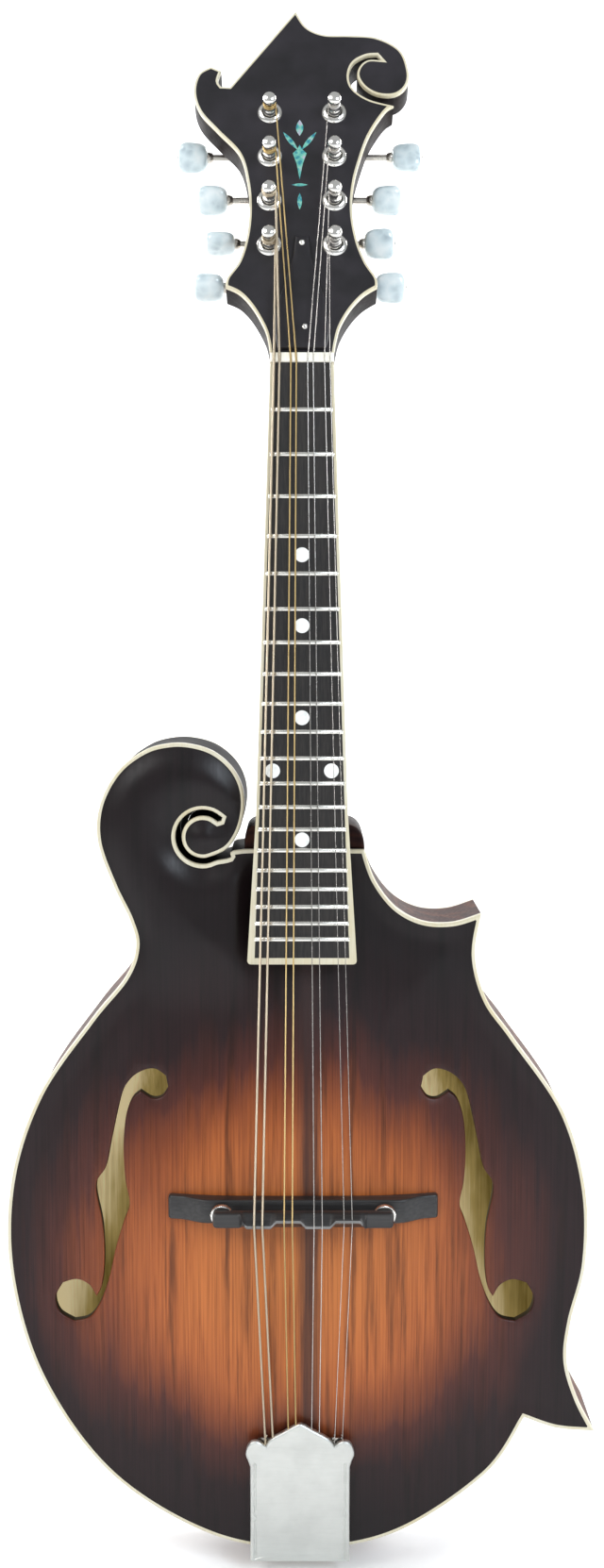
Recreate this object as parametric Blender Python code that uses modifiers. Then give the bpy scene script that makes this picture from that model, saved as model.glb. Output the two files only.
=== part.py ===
"""A scroll-bodied mandolin, built as its separate wooden, metal and string parts.

Units are millimetres until a mesh is made. World axes: +Z up along the body towards the headstock, -Y out of
the front, +X towards the treble side. The origin is in the middle of the neck at the nut, where a yoke holds it.
Each assembly has its own frame, an empty: x to the treble side, y up the assembly and z out of its front.
"""
import math

import bmesh
import bpy
import numpy as np
from mathutils import Matrix, Vector, geometry

MM = 0.001
GAP = 0.3                    # clearance between touching pieces

# Driving dimensions
SCALE_LENGTH = 352.4         # open string, nut to nominal bridge
FRETS = 20
NECK_ANGLE = 5.3             # degrees the neck leans back from the body
HEAD_ANGLE = 15.0            # degrees the headstock leans back from the neck
BOARD_FACE = 10.0            # fingerboard face in front of the origin, at the nut
EDGE_FRONT = 14.0            # front face of the top plate's edge
EDGE_BACK = -30.0            # back face of the back plate's edge
PLATE = 4.5                  # plate thickness
RIB = 2.2                    # rib thickness
BINDING = 1.6                # width of the plate bindings
TOP_ARCH = 15.0
BACK_ARCH = 13.0
ARCH_START = 8.0             # flat margin at the edge
ARCH_END = 100.0             # distance from the edge at which the arch is full
DOME = 3.0                   # part of the arch that keeps rising to the middle
DOME_CENTRE_Y = -365.0
DOME_REACH = (125.0, 150.0)  # how far the dome spreads in x and y
LATTICE = 20.0               # spacing of the points on an arched sheet
LINING_WIDTH = 6.0
LINING_HEIGHT = 7.0
BLOCK_HALF = 28.0            # half the tail block's width
BAR_TOP = -272.0             # the tone bars' ends along the body
BAR_LOW = -462.0
BAR_HALF = 3.0
BAR_DEPTH = 9.0
FAR = 60.0                   # past the front and back of anything in the body

# Neck
BOARD_THICK = 5.5
BOARD_END = 249.3            # fingerboard length from the nut
BOARD_HALF_NUT = 12.0
BOARD_HALF_END = 19.8
JOINT_Z = -205.0             # where the neck meets the body
TENON = ((-10.5, -231.0, -18.0), (10.5, -198.0, 4.0))
TENON_RISER = ((-16.0, -244.0, -9.5), (16.0, -198.0, -BOARD_THICK - GAP))
# Heel shoulders beside the joint, seen from the front, and how far they reach in depth.
HEEL = [(-24.6, JOINT_Z + GAP), (-24.4, -200.0), (-23.4, -196.8), (-20.4, -194.8), (-15.0, -194.2),
        (15.0, -194.2), (21.4, -194.8), (24.6, -197.0), (26.3, -200.4), (26.8, JOINT_Z + GAP)]
HEEL_DEPTH = (-28.0, 12.0)
NUT_HALF = 13.4
TRIM_START = 3.2             # the headstock's binding starts this far above its frame's origin
FRET_HEIGHT = 1.0
FRET_WIDTH = 2.0
NUT_LENGTH = 4.2
NUT_TOP = 1.3
ROD_RADIUS = 2.4
ROD_HEIGHT = -9.8
ROD_POCKET = ((-4.8, 5.0, -14.6), (4.8, 22.0, 8.0))
TRUSS_BELL = [(-3.0, 57.0), (3.0, 57.0), (4.2, 47.0), (7.0, 36.0), (10.4, 24.0), (11.4, 12.0), (10.2, 4.2),
              (-10.2, 4.2), (-11.4, 12.0), (-10.4, 24.0), (-7.0, 36.0), (-4.2, 47.0)]

# Headstock
HEAD_ORIGIN = (0.0, 2.3, -3.3)
OVERLAY = 2.0
HEAD_THICK = 16.0
POST_X = 14.0
POST_ROWS = (118.0, 96.5, 75.0, 53.5)
POST_RADIUS = 3.0
POST_HOLE = 4.0
POST_TOP = 12.0
GEAR_RADIUS = 6.3
GEAR_BACK = -23.4
GEAR_FRONT = -18.4
PLATE_FRONT = -16.3
PLATE_THICK = 1.2
WORM_DROP = 8.7              # worm axis below the post axis
WORM_HEIGHT = -20.9
SHAFT_RADIUS = 1.5
BUTTON_REACH = (47.5, 38.5, 35.0, 39.5)
BUTTON_SHIFT = -1.0
BUTTON_TURNS = {"bass": (40.0, 50.0, 84.0, 62.0), "treble": (0.0, 50.0, 35.0, 30.0)}

# Bridge and tailpiece
BRIDGE_X = 0.5
BRIDGE_Y = -356.5
BRIDGE_LEAN = 9.0            # degrees the saddle leans towards the tail
BASE_HALF = 57.5
BASE_DEPTH = 10.2
BASE_TOP = 35.2              # top of the bridge base
STUD_X = 34.3
STUD_RADIUS = 1.6
STUD_HOLE = 1.9
STUD_LOW = -2.9
STUD_TOP = 6.0
WHEEL_RADIUS = 4.9
WHEEL_LOW = 1.7
WHEEL_HIGH = 4.2
SADDLE_LOW = 4.5
SADDLE_HALF = 38.0
CREST = 11.6                 # height of the saddle's crest above the base's top, along the bridge's own axis
CREST_HALF = 0.8             # half the crest's width
TAIL_Y = -453.0              # the tailpiece cover's top point
TAIL_HEIGHT = 27.6
TAIL_SLOPE = 7.4
COVER_AXIS = -0.9
COVER_THICK = 0.9
COVER_SIDE = [(-22.6, -520.3), (-22.6, -475.0), (-24.4, -467.0), (-22.6, -462.6), (-20.0, -461.2), (-17.6, -462.2),
              (-15.8, -463.8), (-13.6, -460.4), (-7.5, -456.6), (-2.6, -453.6), (COVER_AXIS, TAIL_Y)]
STRING_GAUGES = (1.0, 1.0, 0.66, 0.66, 0.4, 0.4, 0.3, 0.3)
WIND_HEIGHTS = (6.5, 6.5, 8.1, 4.9)   # where each row's string meets its post, above the headstock's face
POST_OF_STRING = (("bass", 3), ("bass", 2), ("bass", 1), ("bass", 0),
                  ("treble", 0), ("treble", 1), ("treble", 2), ("treble", 3))

# Body outline in the body frame, clockwise from the neck's bass side. Each run is smooth and ends in a corner.
SLOT_CENTRE = (-42.3, -199.6)
SLOT_RADIUS = 10.4
SLOT_HALF = 1.4
CUTAWAY = [(26.6, -205.0), (31.2, -218.0), (40.0, -229.6), (51.5, -235.8), (64.5, -236.4), (76.8, -232.6)]
SCROLL = [(-31.5, -204.2), (-26.4, -196.0), (-24.4, -186.0), (-25.6, -177.0), (-30.0, -169.2), (-37.5, -163.0),
          (-46.5, -160.0), (-56.0, -159.6), (-67.0, -162.6), (-78.5, -171.5), (-86.2, -186.0), (-87.0, -202.0),
          (-80.6, -220.5), (-73.6, -235.5), (-71.2, -247.0), (-76.0, -260.4), (-91.0, -279.0),
          (-113.6, -312.0), (-126.2, -351.0), (-126.4, -394.0), (-113.0, -439.5), (-83.6, -481.6),
          (-41.0, -508.8), (0.0, -515.8), (41.0, -508.4), (80.4, -481.6), (97.4, -455.8)]
POINT_UNDER = [(97.4, -455.8), (111.5, -460.6), (128.2, -462.0)]
TREBLE_SIDE = [(128.2, -462.0), (120.6, -447.0), (115.8, -430.0), (117.4, -412.0), (123.4, -386.0),
               (122.8, -353.0), (112.8, -318.5), (91.0, -286.5), (79.4, -270.0), (74.3, -251.0),
               (76.8, -232.6)]

# One f-hole on the bass side; the other mirrors it about F_MIRROR.
F_MIRROR = -3.2
F_OUTLINE = [(-77.6, -311.1), (-73.7, -304.1), (-68.4, -300.4), (-63.0, -299.5), (-58.4, -302.3),
             (-57.4, -307.1), (-60.2, -311.1), (-64.4, -311.9), (-69.4, -309.1), (-73.2, -312.7),
             (-75.8, -320.5), (-76.8, -333.5), (-76.0, -347.5), (-74.2, -357.5), (-76.8, -365.5),
             (-80.4, -377.5), (-83.6, -391.5), (-87.8, -403.0), (-92.6, -409.7), (-99.2, -411.7),
             (-105.4, -407.9), (-107.2, -401.1), (-104.0, -394.7), (-97.8, -392.9), (-92.4, -395.1),
             (-89.2, -400.1), (-86.6, -394.5), (-85.4, -382.5), (-86.0, -367.5), (-88.8, -350.7),
             (-84.4, -342.0), (-81.8, -329.5)]

# Headstock outline in its own frame, from the bass side of the neck round to the treble side.
HEAD_OUTLINE = [(-13.4, 1.6), (-14.2, 8.0), (-16.0, 14.5), (-21.0, 24.0), (-26.5, 30.5), (-32.4, 33.6),
                (-31.8, 38.0), (-26.8, 46.0), (-23.8, 57.0), (-22.6, 70.0), (-23.6, 84.0), (-27.2, 97.5),
                (-36.6, 108.6), (-44.6, 118.5), (-47.4, 128.6), (-45.4, 137.5), (-40.0, 141.2), (-35.4, 139.0),
                (-36.8, 134.0), (-35.4, 131.2), (-31.6, 131.0), (-2.8, 169.6),
                (2.0, 161.5), (9.7, 157.6), (21.0, 157.2), (33.0, 156.0), (43.2, 149.6), (46.8, 139.0),
                (45.8, 131.6), (40.8, 127.0), (33.3, 127.0), (27.3, 130.7), (24.2, 136.4), (25.4, 141.6),
                (29.2, 144.7), (35.0, 144.5), (33.0, 147.1), (28.0, 146.5), (22.6, 142.9), (20.6, 136.4),
                (22.5, 130.1), (29.3, 124.8), (40.0, 121.6), (36.2, 118.6), (29.8, 108.0), (26.0, 97.5),
                (22.6, 84.0), (21.6, 70.0), (23.6, 56.0), (27.2, 45.5), (31.6, 38.0), (32.0, 33.6),
                (26.0, 29.5), (20.5, 23.0), (16.2, 15.0), (14.4, 8.0), (13.4, 1.6)]


def clear_scene():
    """Start from an empty file."""
    for old in list(bpy.data.objects):
        bpy.data.objects.remove(old, do_unlink=True)


def new_collection(name):
    """A collection linked to the scene."""
    made = bpy.data.collections.new(name)
    bpy.context.scene.collection.children.link(made)
    return made


def material(name, colour, roughness, metallic=0.0):
    """A plain Principled material."""
    made = bpy.data.materials.new(name)
    made.use_nodes = True
    shader = made.node_tree.nodes["Principled BSDF"]
    shader.inputs["Base Color"].default_value = (*colour, 1.0)
    shader.inputs["Roughness"].default_value = roughness
    shader.inputs["Metallic"].default_value = metallic
    return made


def empty(name, location=(0, 0, 0), tilt=0.0, parent=None):
    """An assembly frame, turned by tilt degrees about its x axis."""
    made = bpy.data.objects.new(name, None)
    made.location = [value * MM for value in location]
    made.rotation_euler = (math.radians(tilt), 0.0, 0.0)
    made.parent = parent
    PARTS.objects.link(made)
    return made


def add_object(name, mesh, frame, look, collection=None):
    """An object for a mesh whose points are already in its frame, in metres."""
    made = bpy.data.objects.new(name, mesh)
    made.parent = frame
    (collection or PARTS).objects.link(made)
    if look:
        mesh.materials.clear()
        mesh.materials.append(look)
    return made


def smooth_run(points, steps):
    """Points of a Catmull-Rom curve through the given ones, without the last."""
    padded = [points[0], *points, points[-1]]
    made = []
    for a, b, c, d in zip(padded, padded[1:], padded[2:], padded[3:]):
        for step in range(steps):
            t = step / steps
            made.append(tuple(0.5 * (2 * q + (r - p) * t + (2 * p - 5 * q + 4 * r - s) * t ** 2
                                     + (3 * q - p - 3 * r + s) * t ** 3) for p, q, r, s in zip(a, b, c, d)))
    return made


def arc(centre, radius, start, end, steps):
    """Points on a circular arc, in degrees, both ends included."""
    angles = [math.radians(start + (end - start) * i / steps) for i in range(steps + 1)]
    return [(centre[0] + radius * math.cos(a), centre[1] + radius * math.sin(a)) for a in angles]


def body_outline():
    """The whole plate outline, with the scroll's slot."""
    outer = SLOT_RADIUS + SLOT_HALF
    inner = SLOT_RADIUS - SLOT_HALF
    tip_angle = 45.0
    slot_tip = arc(SLOT_CENTRE, SLOT_RADIUS, tip_angle, tip_angle - 4.0, 1)[1]
    slot = [(-25.0, -205.0), (-30.6, -208.6)]
    slot += arc(SLOT_CENTRE, outer, -60.0, -360.0 + tip_angle, 11)
    slot += [slot_tip]
    slot += arc(SLOT_CENTRE, inner, tip_angle, 290.0, 9)
    loop = slot + smooth_run(SCROLL, 2) + smooth_run(POINT_UNDER, 2) + smooth_run(TREBLE_SIDE, 2)
    return loop + smooth_run(CUTAWAY[::-1], 2) + [CUTAWAY[0]]


def edge_distance(point, loop):
    """Distance from a point to a closed outline."""
    start = np.array(loop)
    along = np.roll(start, -1, axis=0) - start
    away = np.array(point) - start
    share = np.clip((away * along).sum(1) / np.maximum((along ** 2).sum(1), 1e-12), 0.0, 1.0)
    return float(np.sqrt(((away - share[:, None] * along) ** 2).sum(1)).min())


def is_inside(point, loop):
    """Whether a point lies within a closed outline."""
    x, y = point
    crossings = 0
    for (ax, ay), (bx, by) in zip(loop, loop[1:] + loop[:1]):
        if (ay > y) != (by > y) and x < ax + (y - ay) * (bx - ax) / (by - ay):
            crossings += 1
    return crossings % 2 == 1


def signed_area(loop):
    """Area of an outline, positive when it runs anticlockwise."""
    return 0.5 * sum(a[0] * b[1] - b[0] * a[1] for a, b in zip(loop, loop[1:] + loop[:1]))


def inset(loop, distance):
    """The outline moved inwards; points that another stretch of edge overtakes are dropped."""
    turn = 1.0 if signed_area(loop) > 0 else -1.0
    made = []
    for before, here, after in zip(loop[-1:] + loop[:-1], loop, loop[1:] + loop[:1]):
        first = Vector((here[0] - before[0], here[1] - before[1])).normalized()
        second = Vector((after[0] - here[0], after[1] - here[1])).normalized()
        normal = Vector((-first.y - second.y, first.x + second.x)) * turn
        normal.normalize()
        lean = max(normal.dot(Vector((-first.y, first.x)) * turn), 0.25)
        point = (here[0] + normal.x * distance / lean, here[1] + normal.y * distance / lean)
        if is_inside(point, loop) and edge_distance(point, loop) > 0.985 * distance:
            made.append(point)
    return made


def curve_mesh(curve):
    """The closed mesh of a curve, with its caps welded."""
    made = bpy.data.objects.new(curve.name, curve)
    CUTTERS.objects.link(made)
    graph = bpy.context.evaluated_depsgraph_get()
    mesh = bpy.data.meshes.new_from_object(made.evaluated_get(graph))
    bpy.data.objects.remove(made, do_unlink=True)
    shape = bmesh.new()
    shape.from_mesh(mesh)
    bmesh.ops.remove_doubles(shape, verts=shape.verts, dist=0.00001)
    bmesh.ops.recalc_face_normals(shape, faces=shape.faces)
    shape.to_mesh(mesh)
    shape.free()
    return mesh


def slab(name, loops, low, high, frame, look, collection=None):
    """A flat piece: outlines in the frame's xy plane, between two heights. A second outline is a hole."""
    curve = bpy.data.curves.new(name, "CURVE")
    curve.dimensions = "2D"
    curve.fill_mode = "BOTH"
    curve.extrude = (high - low) / 2 * MM
    for loop in loops:
        spline = curve.splines.new("POLY")
        spline.points.add(len(loop) - 1)
        for knot, (x, y) in zip(spline.points, loop):
            knot.co = (x * MM, y * MM, 0.0, 1.0)
        spline.use_cyclic_u = True
    mesh = curve_mesh(curve)
    mesh.transform(Matrix.Translation((0.0, 0.0, (low + high) / 2 * MM)))
    return add_object(name, mesh, frame, look, collection)


def box(name, low, high, frame, look=None, collection=None):
    """A box between two corners."""
    shape = bmesh.new()
    bmesh.ops.create_cube(shape, size=1.0)
    for vert in shape.verts:
        vert.co = [(a + (b - a) * (c + 0.5)) * MM for a, b, c in zip(low, high, vert.co)]
    mesh = bpy.data.meshes.new(name)
    shape.to_mesh(mesh)
    shape.free()
    return add_object(name, mesh, frame, look, collection)


def cylinder(name, centre, axis, radius, length, frame, look=None, collection=None, sides=16):
    """A cylinder with its centre and axis in the frame."""
    shape = bmesh.new()
    bmesh.ops.create_cone(shape, cap_ends=True, segments=sides, radius1=radius * MM, radius2=radius * MM,
                          depth=length * MM)
    mesh = bpy.data.meshes.new(name)
    shape.to_mesh(mesh)
    shape.free()
    mesh.transform(Vector((0, 0, 1)).rotation_difference(Vector(axis)).to_matrix().to_4x4())
    mesh.transform(Matrix.Translation([value * MM for value in centre]))
    return add_object(name, mesh, frame, look, collection)


def loft(name, rings, frame, look, collection=None):
    """A closed skin through rings of equal point counts."""
    shape = bmesh.new()
    rows = [[shape.verts.new([value * MM for value in point]) for point in ring] for ring in rings]
    for row, after in zip(rows, rows[1:]):
        for i in range(len(row)):
            k = (i + 1) % len(row)
            shape.faces.new((row[i], row[k], after[k], after[i]))
    shape.faces.new(rows[0])
    shape.faces.new(rows[-1])
    bmesh.ops.recalc_face_normals(shape, faces=shape.faces)
    mesh = bpy.data.meshes.new(name)
    shape.to_mesh(mesh)
    shape.free()
    return add_object(name, mesh, frame, look, collection)


def turned(name, profile, place, frame, look, steps=12):
    """A Screw of a radius and height profile, listed top to bottom, about a z axis through place."""
    mesh = bpy.data.meshes.new(name)
    points = [(radius * MM, 0.0, height * MM) for radius, height in profile]
    mesh.from_pydata(points, [(i, i + 1) for i in range(len(points) - 1)], [])
    made = add_object(name, mesh, frame, look)
    made.location = [value * MM for value in place]
    screw = made.modifiers.new("Screw", "SCREW")
    screw.steps = steps
    screw.render_steps = steps
    screw.use_merge_vertices = True
    screw.merge_threshold = 0.00001
    return made


def boolean(target, cutters, operation="DIFFERENCE"):
    """Cut or join a piece with each cutter, which stays as a guide."""
    for cutter in cutters:
        cutter.hide_render = True
        cutter.display_type = "WIRE"
        modifier = target.modifiers.new(operation.title(), "BOOLEAN")
        modifier.operation = operation
        modifier.object = cutter


def guide_box(low, high, frame):
    """A box that only cuts or joins."""
    return box("guide_box", low, high, frame, collection=CUTTERS)


def guide_cylinder(centre, axis, radius, length, frame):
    """A cylinder that only cuts."""
    return cylinder("guide_cylinder", centre, axis, radius, length, frame, collection=CUTTERS, sides=12)


def smoothstep(value, low, high):
    """0 below low, 1 above high, and smooth between."""
    share = min(max((value - low) / (high - low), 0.0), 1.0)
    return share * share * (3.0 - 2.0 * share)


def arch(x, y, rise):
    """Height of an arched plate above its edge plane."""
    dome = max(0.0, 1.0 - (x / DOME_REACH[0]) ** 2 - ((y - DOME_CENTRE_Y) / DOME_REACH[1]) ** 2)
    swell = smoothstep(edge_distance((x, y), OUTLINE), ARCH_START, ARCH_END)
    return swell * (rise - DOME + DOME * dome)


def arched_shell(name, loop, height, thickness, frame, look, up=True):
    """A sheet over an outline, lifted by a height function, then thickened behind its outer face."""
    low = [min(point[i] for point in loop) for i in (0, 1)]
    high = [max(point[i] for point in loop) for i in (0, 1)]
    lattice = []
    for row in range(int((high[1] - low[1]) / (0.866 * LATTICE)) + 1):
        for column in range(int((high[0] - low[0]) / LATTICE) + 2):
            point = (low[0] + (column + 0.5 * (row % 2)) * LATTICE, low[1] + (row + 0.5) * 0.866 * LATTICE)
            if is_inside(point, loop) and edge_distance(point, loop) > 0.4 * LATTICE:
                lattice.append(point)
    points = [Vector(point) for point in loop + lattice]
    edges = [(i, (i + 1) % len(loop)) for i in range(len(loop))]
    found = geometry.delaunay_2d_cdt(points, edges, [], 1, 0.0001)
    mesh = bpy.data.meshes.new(name)
    mesh.from_pydata([(p.x * MM, p.y * MM, height(p.x, p.y) * MM) for p in found[0]], [], found[2])
    shape = bmesh.new()
    shape.from_mesh(mesh)
    for face in shape.faces:
        if (face.normal.z > 0) != up:
            face.normal_flip()
    shape.to_mesh(mesh)
    shape.free()
    made = add_object(name, mesh, frame, look)
    solid = made.modifiers.new("Solidify", "SOLIDIFY")
    solid.thickness = thickness * MM
    solid.offset = -1.0
    return made


def board_half(s):
    """Half the fingerboard's width at a distance from the nut."""
    return BOARD_HALF_NUT + (BOARD_HALF_END - BOARD_HALF_NUT) * s / BOARD_END


def top_height(x, y):
    """Front surface of the soundboard."""
    return EDGE_FRONT + arch(x, y, TOP_ARCH)


def build_body():
    """Plates, ribs, bindings and everything glued inside."""
    plate_loop = inset(OUTLINE, BINDING + GAP)
    binding_inner = inset(OUTLINE, BINDING)
    rib_inner = inset(OUTLINE, RIB)
    block_loop = inset(OUTLINE, RIB + GAP)
    lining_inner = inset(OUTLINE, RIB + GAP + LINING_WIDTH)
    rib_high = EDGE_FRONT - PLATE - GAP
    rib_low = EDGE_BACK + PLATE + GAP

    top = arched_shell("soundboard", plate_loop, top_height, PLATE, BODY, SPRUCE)
    mirrored = [(2 * F_MIRROR - x, y) for x, y in reversed(F_OUTLINE)]
    holes = [slab("guide_f_hole", [loop], 0.0, 40.0, BODY, None, CUTTERS) for loop in (F_OUTLINE, mirrored)]
    boolean(top, holes)
    arched_shell("back_plate", plate_loop, lambda x, y: EDGE_BACK - arch(x, y, BACK_ARCH), PLATE, BODY, MAPLE,
                 up=False)
    slab("top_binding", [OUTLINE, binding_inner], EDGE_FRONT - PLATE, EDGE_FRONT, BODY, IVORY)
    slab("back_binding", [OUTLINE, binding_inner], EDGE_BACK, EDGE_BACK + PLATE, BODY, IVORY)

    ribs = slab("ribs", [OUTLINE, rib_inner], rib_low, rib_high, BODY, MAPLE)
    boolean(ribs, [mortise_box()])
    blocks = {"head_block": (rib_low, rib_high, (-95.0, -240.0), (40.0, -150.0)),
              "tail_block": (rib_low, rib_high, (-BLOCK_HALF, -530.0), (BLOCK_HALF, -496.0)),
              "upper_point_block": (-16.0, 0.0, (52.0, -262.0), (90.0, -225.0)),
              "lower_point_block": (-16.0, 0.0, (99.0, -480.0), (140.0, -438.0))}
    for name, (bottom, height, low, high) in blocks.items():
        block = slab(name, [block_loop], bottom, height, BODY, MAHOGANY)
        boolean(block, [guide_box((*low, -FAR), (*high, FAR), BODY)], "INTERSECT")
        if name == "head_block":
            boolean(block, [mortise_box()])

    lining_top = blocks["head_block"][2][1] - GAP
    sides = {"bass": ((-140.0, -530.0, -FAR), (-BLOCK_HALF - GAP, lining_top, FAR)),
             "treble": ((BLOCK_HALF + GAP, -530.0, -FAR), (140.0, lining_top, FAR))}
    for side, (low, high) in sides.items():
        for plate, bottom in (("top", rib_high - LINING_HEIGHT), ("back", rib_low)):
            lining = slab(f"{plate}_lining_{side}", [block_loop, lining_inner], bottom,
                          bottom + LINING_HEIGHT, BODY, SPRUCE_RAW)
            boolean(lining, [guide_box(low, high, BODY)], "INTERSECT")

    for side, x_top, x_low in (("bass", -26.0, -38.0), ("treble", 22.0, 40.0)):
        strip = [(x_top - BAR_HALF, BAR_TOP), (x_low - BAR_HALF, BAR_LOW), (x_low + BAR_HALF, BAR_LOW),
                 (x_top + BAR_HALF, BAR_TOP)]
        arched_shell(f"tone_bar_{side}", densified(strip), bar_height, BAR_DEPTH, BODY, SPRUCE_RAW)


def mortise_box():
    """The pocket in the ribs and the head block that the neck's tenon fits, with clearance."""
    low, high = TENON
    return guide_box((low[0] - GAP, low[1] - GAP, low[2] - GAP), (high[0] + GAP, high[1], high[2] + GAP), BODY)


def bar_height(x, y):
    """Front of a tone bar, a glue line behind the soundboard."""
    return top_height(x, y) - PLATE - 0.8


def densified(loop, longest=14.0):
    """An outline with its long straight edges divided."""
    made = []
    for a, b in zip(loop, loop[1:] + loop[:1]):
        count = max(1, math.ceil(math.dist(a, b) / longest))
        made += [(a[0] + (b[0] - a[0]) * i / count, a[1] + (b[1] - a[1]) * i / count) for i in range(count)]
    return made


def neck_ring(y, half, top, bottom):
    """A D-shaped section: a flat top and a rounded back."""
    middle = top - 2.0
    ring = [(half, y, top), (half, y, middle)]
    for step in range(1, 10):
        angle = math.pi * step / 10
        ring.append((half * math.cos(angle), y, middle + (bottom - middle) * math.sin(angle)))
    return ring + [(-half, y, middle), (-half, y, top)]


def build_neck():
    """Neck, fingerboard, nut, truss rod and headstock."""
    under = -BOARD_THICK - GAP
    stations = [(12.0, 13.2, -8.8, -19.0), (4.8, 13.2, under - 0.8, -20.4), (4.3, 13.2, under, -20.5),
                (-60.0, 14.9, under, -22.4), (-120.0, 16.8, under, -24.0), (-158.0, 18.0, under, -25.4),
                (-174.0, 18.6, under, -29.0), (-186.0, 18.8, under, -37.5), (-194.0, 18.6, under, -47.0),
                (-200.0, 18.2, under, -55.0), (-212.0, 18.0, under, -57.5)]
    neck = loft("neck", [neck_ring(*station) for station in stations], NECK, MAPLE)
    boolean(neck, [guide_box((-40.0, -260.0, -80.0), (40.0, JOINT_Z + GAP, 60.0), BODY)])
    wood = slab("guide_headstock", [HEAD_OUTLINE], -HEAD_THICK, -OVERLAY - GAP, HEAD, None, CUTTERS)
    heel = slab("guide_heel", [HEEL], *HEEL_DEPTH, BODY, None, CUTTERS)
    boolean(neck, [wood, heel, guide_box(*TENON_RISER, NECK), guide_box(*TENON, BODY)], "UNION")
    groove = guide_box((-3.2, -190.0, -13.4), (3.2, 6.0, 0.0), NECK)
    boolean(neck, [groove, guide_box(*ROD_POCKET, NECK)] + post_cutters(POST_HOLE))

    overlay_loop = [point for point in inset(HEAD_OUTLINE, BINDING + GAP) if point[1] > TRIM_START - GAP]
    overlay = slab("headstock_overlay", [overlay_loop], -OVERLAY, 0.0, HEAD, EBONY)
    boolean(overlay, [guide_box(*ROD_POCKET, NECK)] + post_cutters(POST_HOLE))
    trimmed = [(x, max(y, TRIM_START)) for x, y in HEAD_OUTLINE]
    trimmed_inner = [(x, max(y, TRIM_START)) for x, y in inset(HEAD_OUTLINE, BINDING)]
    rim = trimmed + trimmed_inner[::-1]
    slab("headstock_binding", [rim], -OVERLAY, 0.0, HEAD, IVORY)

    edge = [(-board_half(0), -GAP), (board_half(0), -GAP), (BOARD_HALF_END, -BOARD_END),
            (-BOARD_HALF_END, -BOARD_END)]
    board = slab("fingerboard", [edge], -BOARD_THICK, 0.0, NECK, EBONY)
    frets = []
    for fret in range(1, FRETS + 1):
        s = SCALE_LENGTH * (1.0 - 2.0 ** (-fret / 12.0))
        half = board_half(s) - 0.2
        frets.append(guide_box((-half, -s - FRET_WIDTH / 2, -1.0), (half, -s + FRET_WIDTH / 2, FRET_HEIGHT), NECK))
    boolean(board, frets, "UNION")
    inner = [(BOARD_HALF_END + GAP, -BOARD_END - GAP), (board_half(0) + GAP, -GAP)]
    outer = [(NUT_HALF, -GAP), (19.3, -190.0), (22.9, -252.0)]
    u_shape = outer + [(-x, y) for x, y in reversed(outer)]
    u_shape += [(-x, y) for x, y in reversed(inner)] + inner
    slab("fingerboard_binding", [u_shape], -BOARD_THICK, 0.0, NECK, IVORY)
    nut_side = [(0.0, -BOARD_THICK), (NUT_LENGTH, -BOARD_THICK), (NUT_LENGTH, NUT_TOP - 1.2), (0.6, NUT_TOP),
                (0.0, NUT_TOP)]
    loft("nut", [[(x, y, z) for y, z in nut_side] for x in (-NUT_HALF, NUT_HALF)], NECK, IVORY)

    cylinder("truss_rod", (0.0, -91.5, ROD_HEIGHT), (0, 1, 0), ROD_RADIUS, 190.0, NECK, STEEL, sides=12)
    nut_frame = empty("truss_nut_axis", (0.0, 10.0, ROD_HEIGHT), parent=NECK)
    cylinder("truss_nut", (0.0, 0.0, 0.0), (0, 1, 0), 3.6, 9.0, nut_frame, BRASS, sides=6)
    slab("truss_rod_cover", [TRUSS_BELL], GAP, 1.9, HEAD, EBONY)


def post_cutters(radius):
    """Cylinders on the eight post axes."""
    places = [(side * POST_X, y, -8.0) for side in (-1, 1) for y in POST_ROWS]
    return [guide_cylinder(place, (0, 0, 1), radius, 60.0, HEAD) for place in places]


def button_rings(side, reach, turn):
    """Sections of a worm's shaft and its oval button, out along x."""
    inner = POST_X - 6.2
    stations = [(inner, SHAFT_RADIUS, SHAFT_RADIUS), (reach - 7.5, SHAFT_RADIUS, SHAFT_RADIUS),
                (reach - 7.2, 2.6, 2.2), (reach - 4.5, 5.8, 3.3), (reach, 7.3, 3.7), (reach + 4.0, 6.6, 3.5),
                (reach + 6.6, 2.6, 1.6)]
    rings = []
    for x, wide, thick in stations:
        ring = []
        for step in range(10):
            angle = 2 * math.pi * step / 10
            flat = Vector((wide * math.cos(angle), thick * math.sin(angle)))
            spread = Matrix.Rotation(math.radians(turn), 2) @ flat
            ring.append((side * x, spread.x, spread.y))
        rings.append(ring)
    return rings


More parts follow.
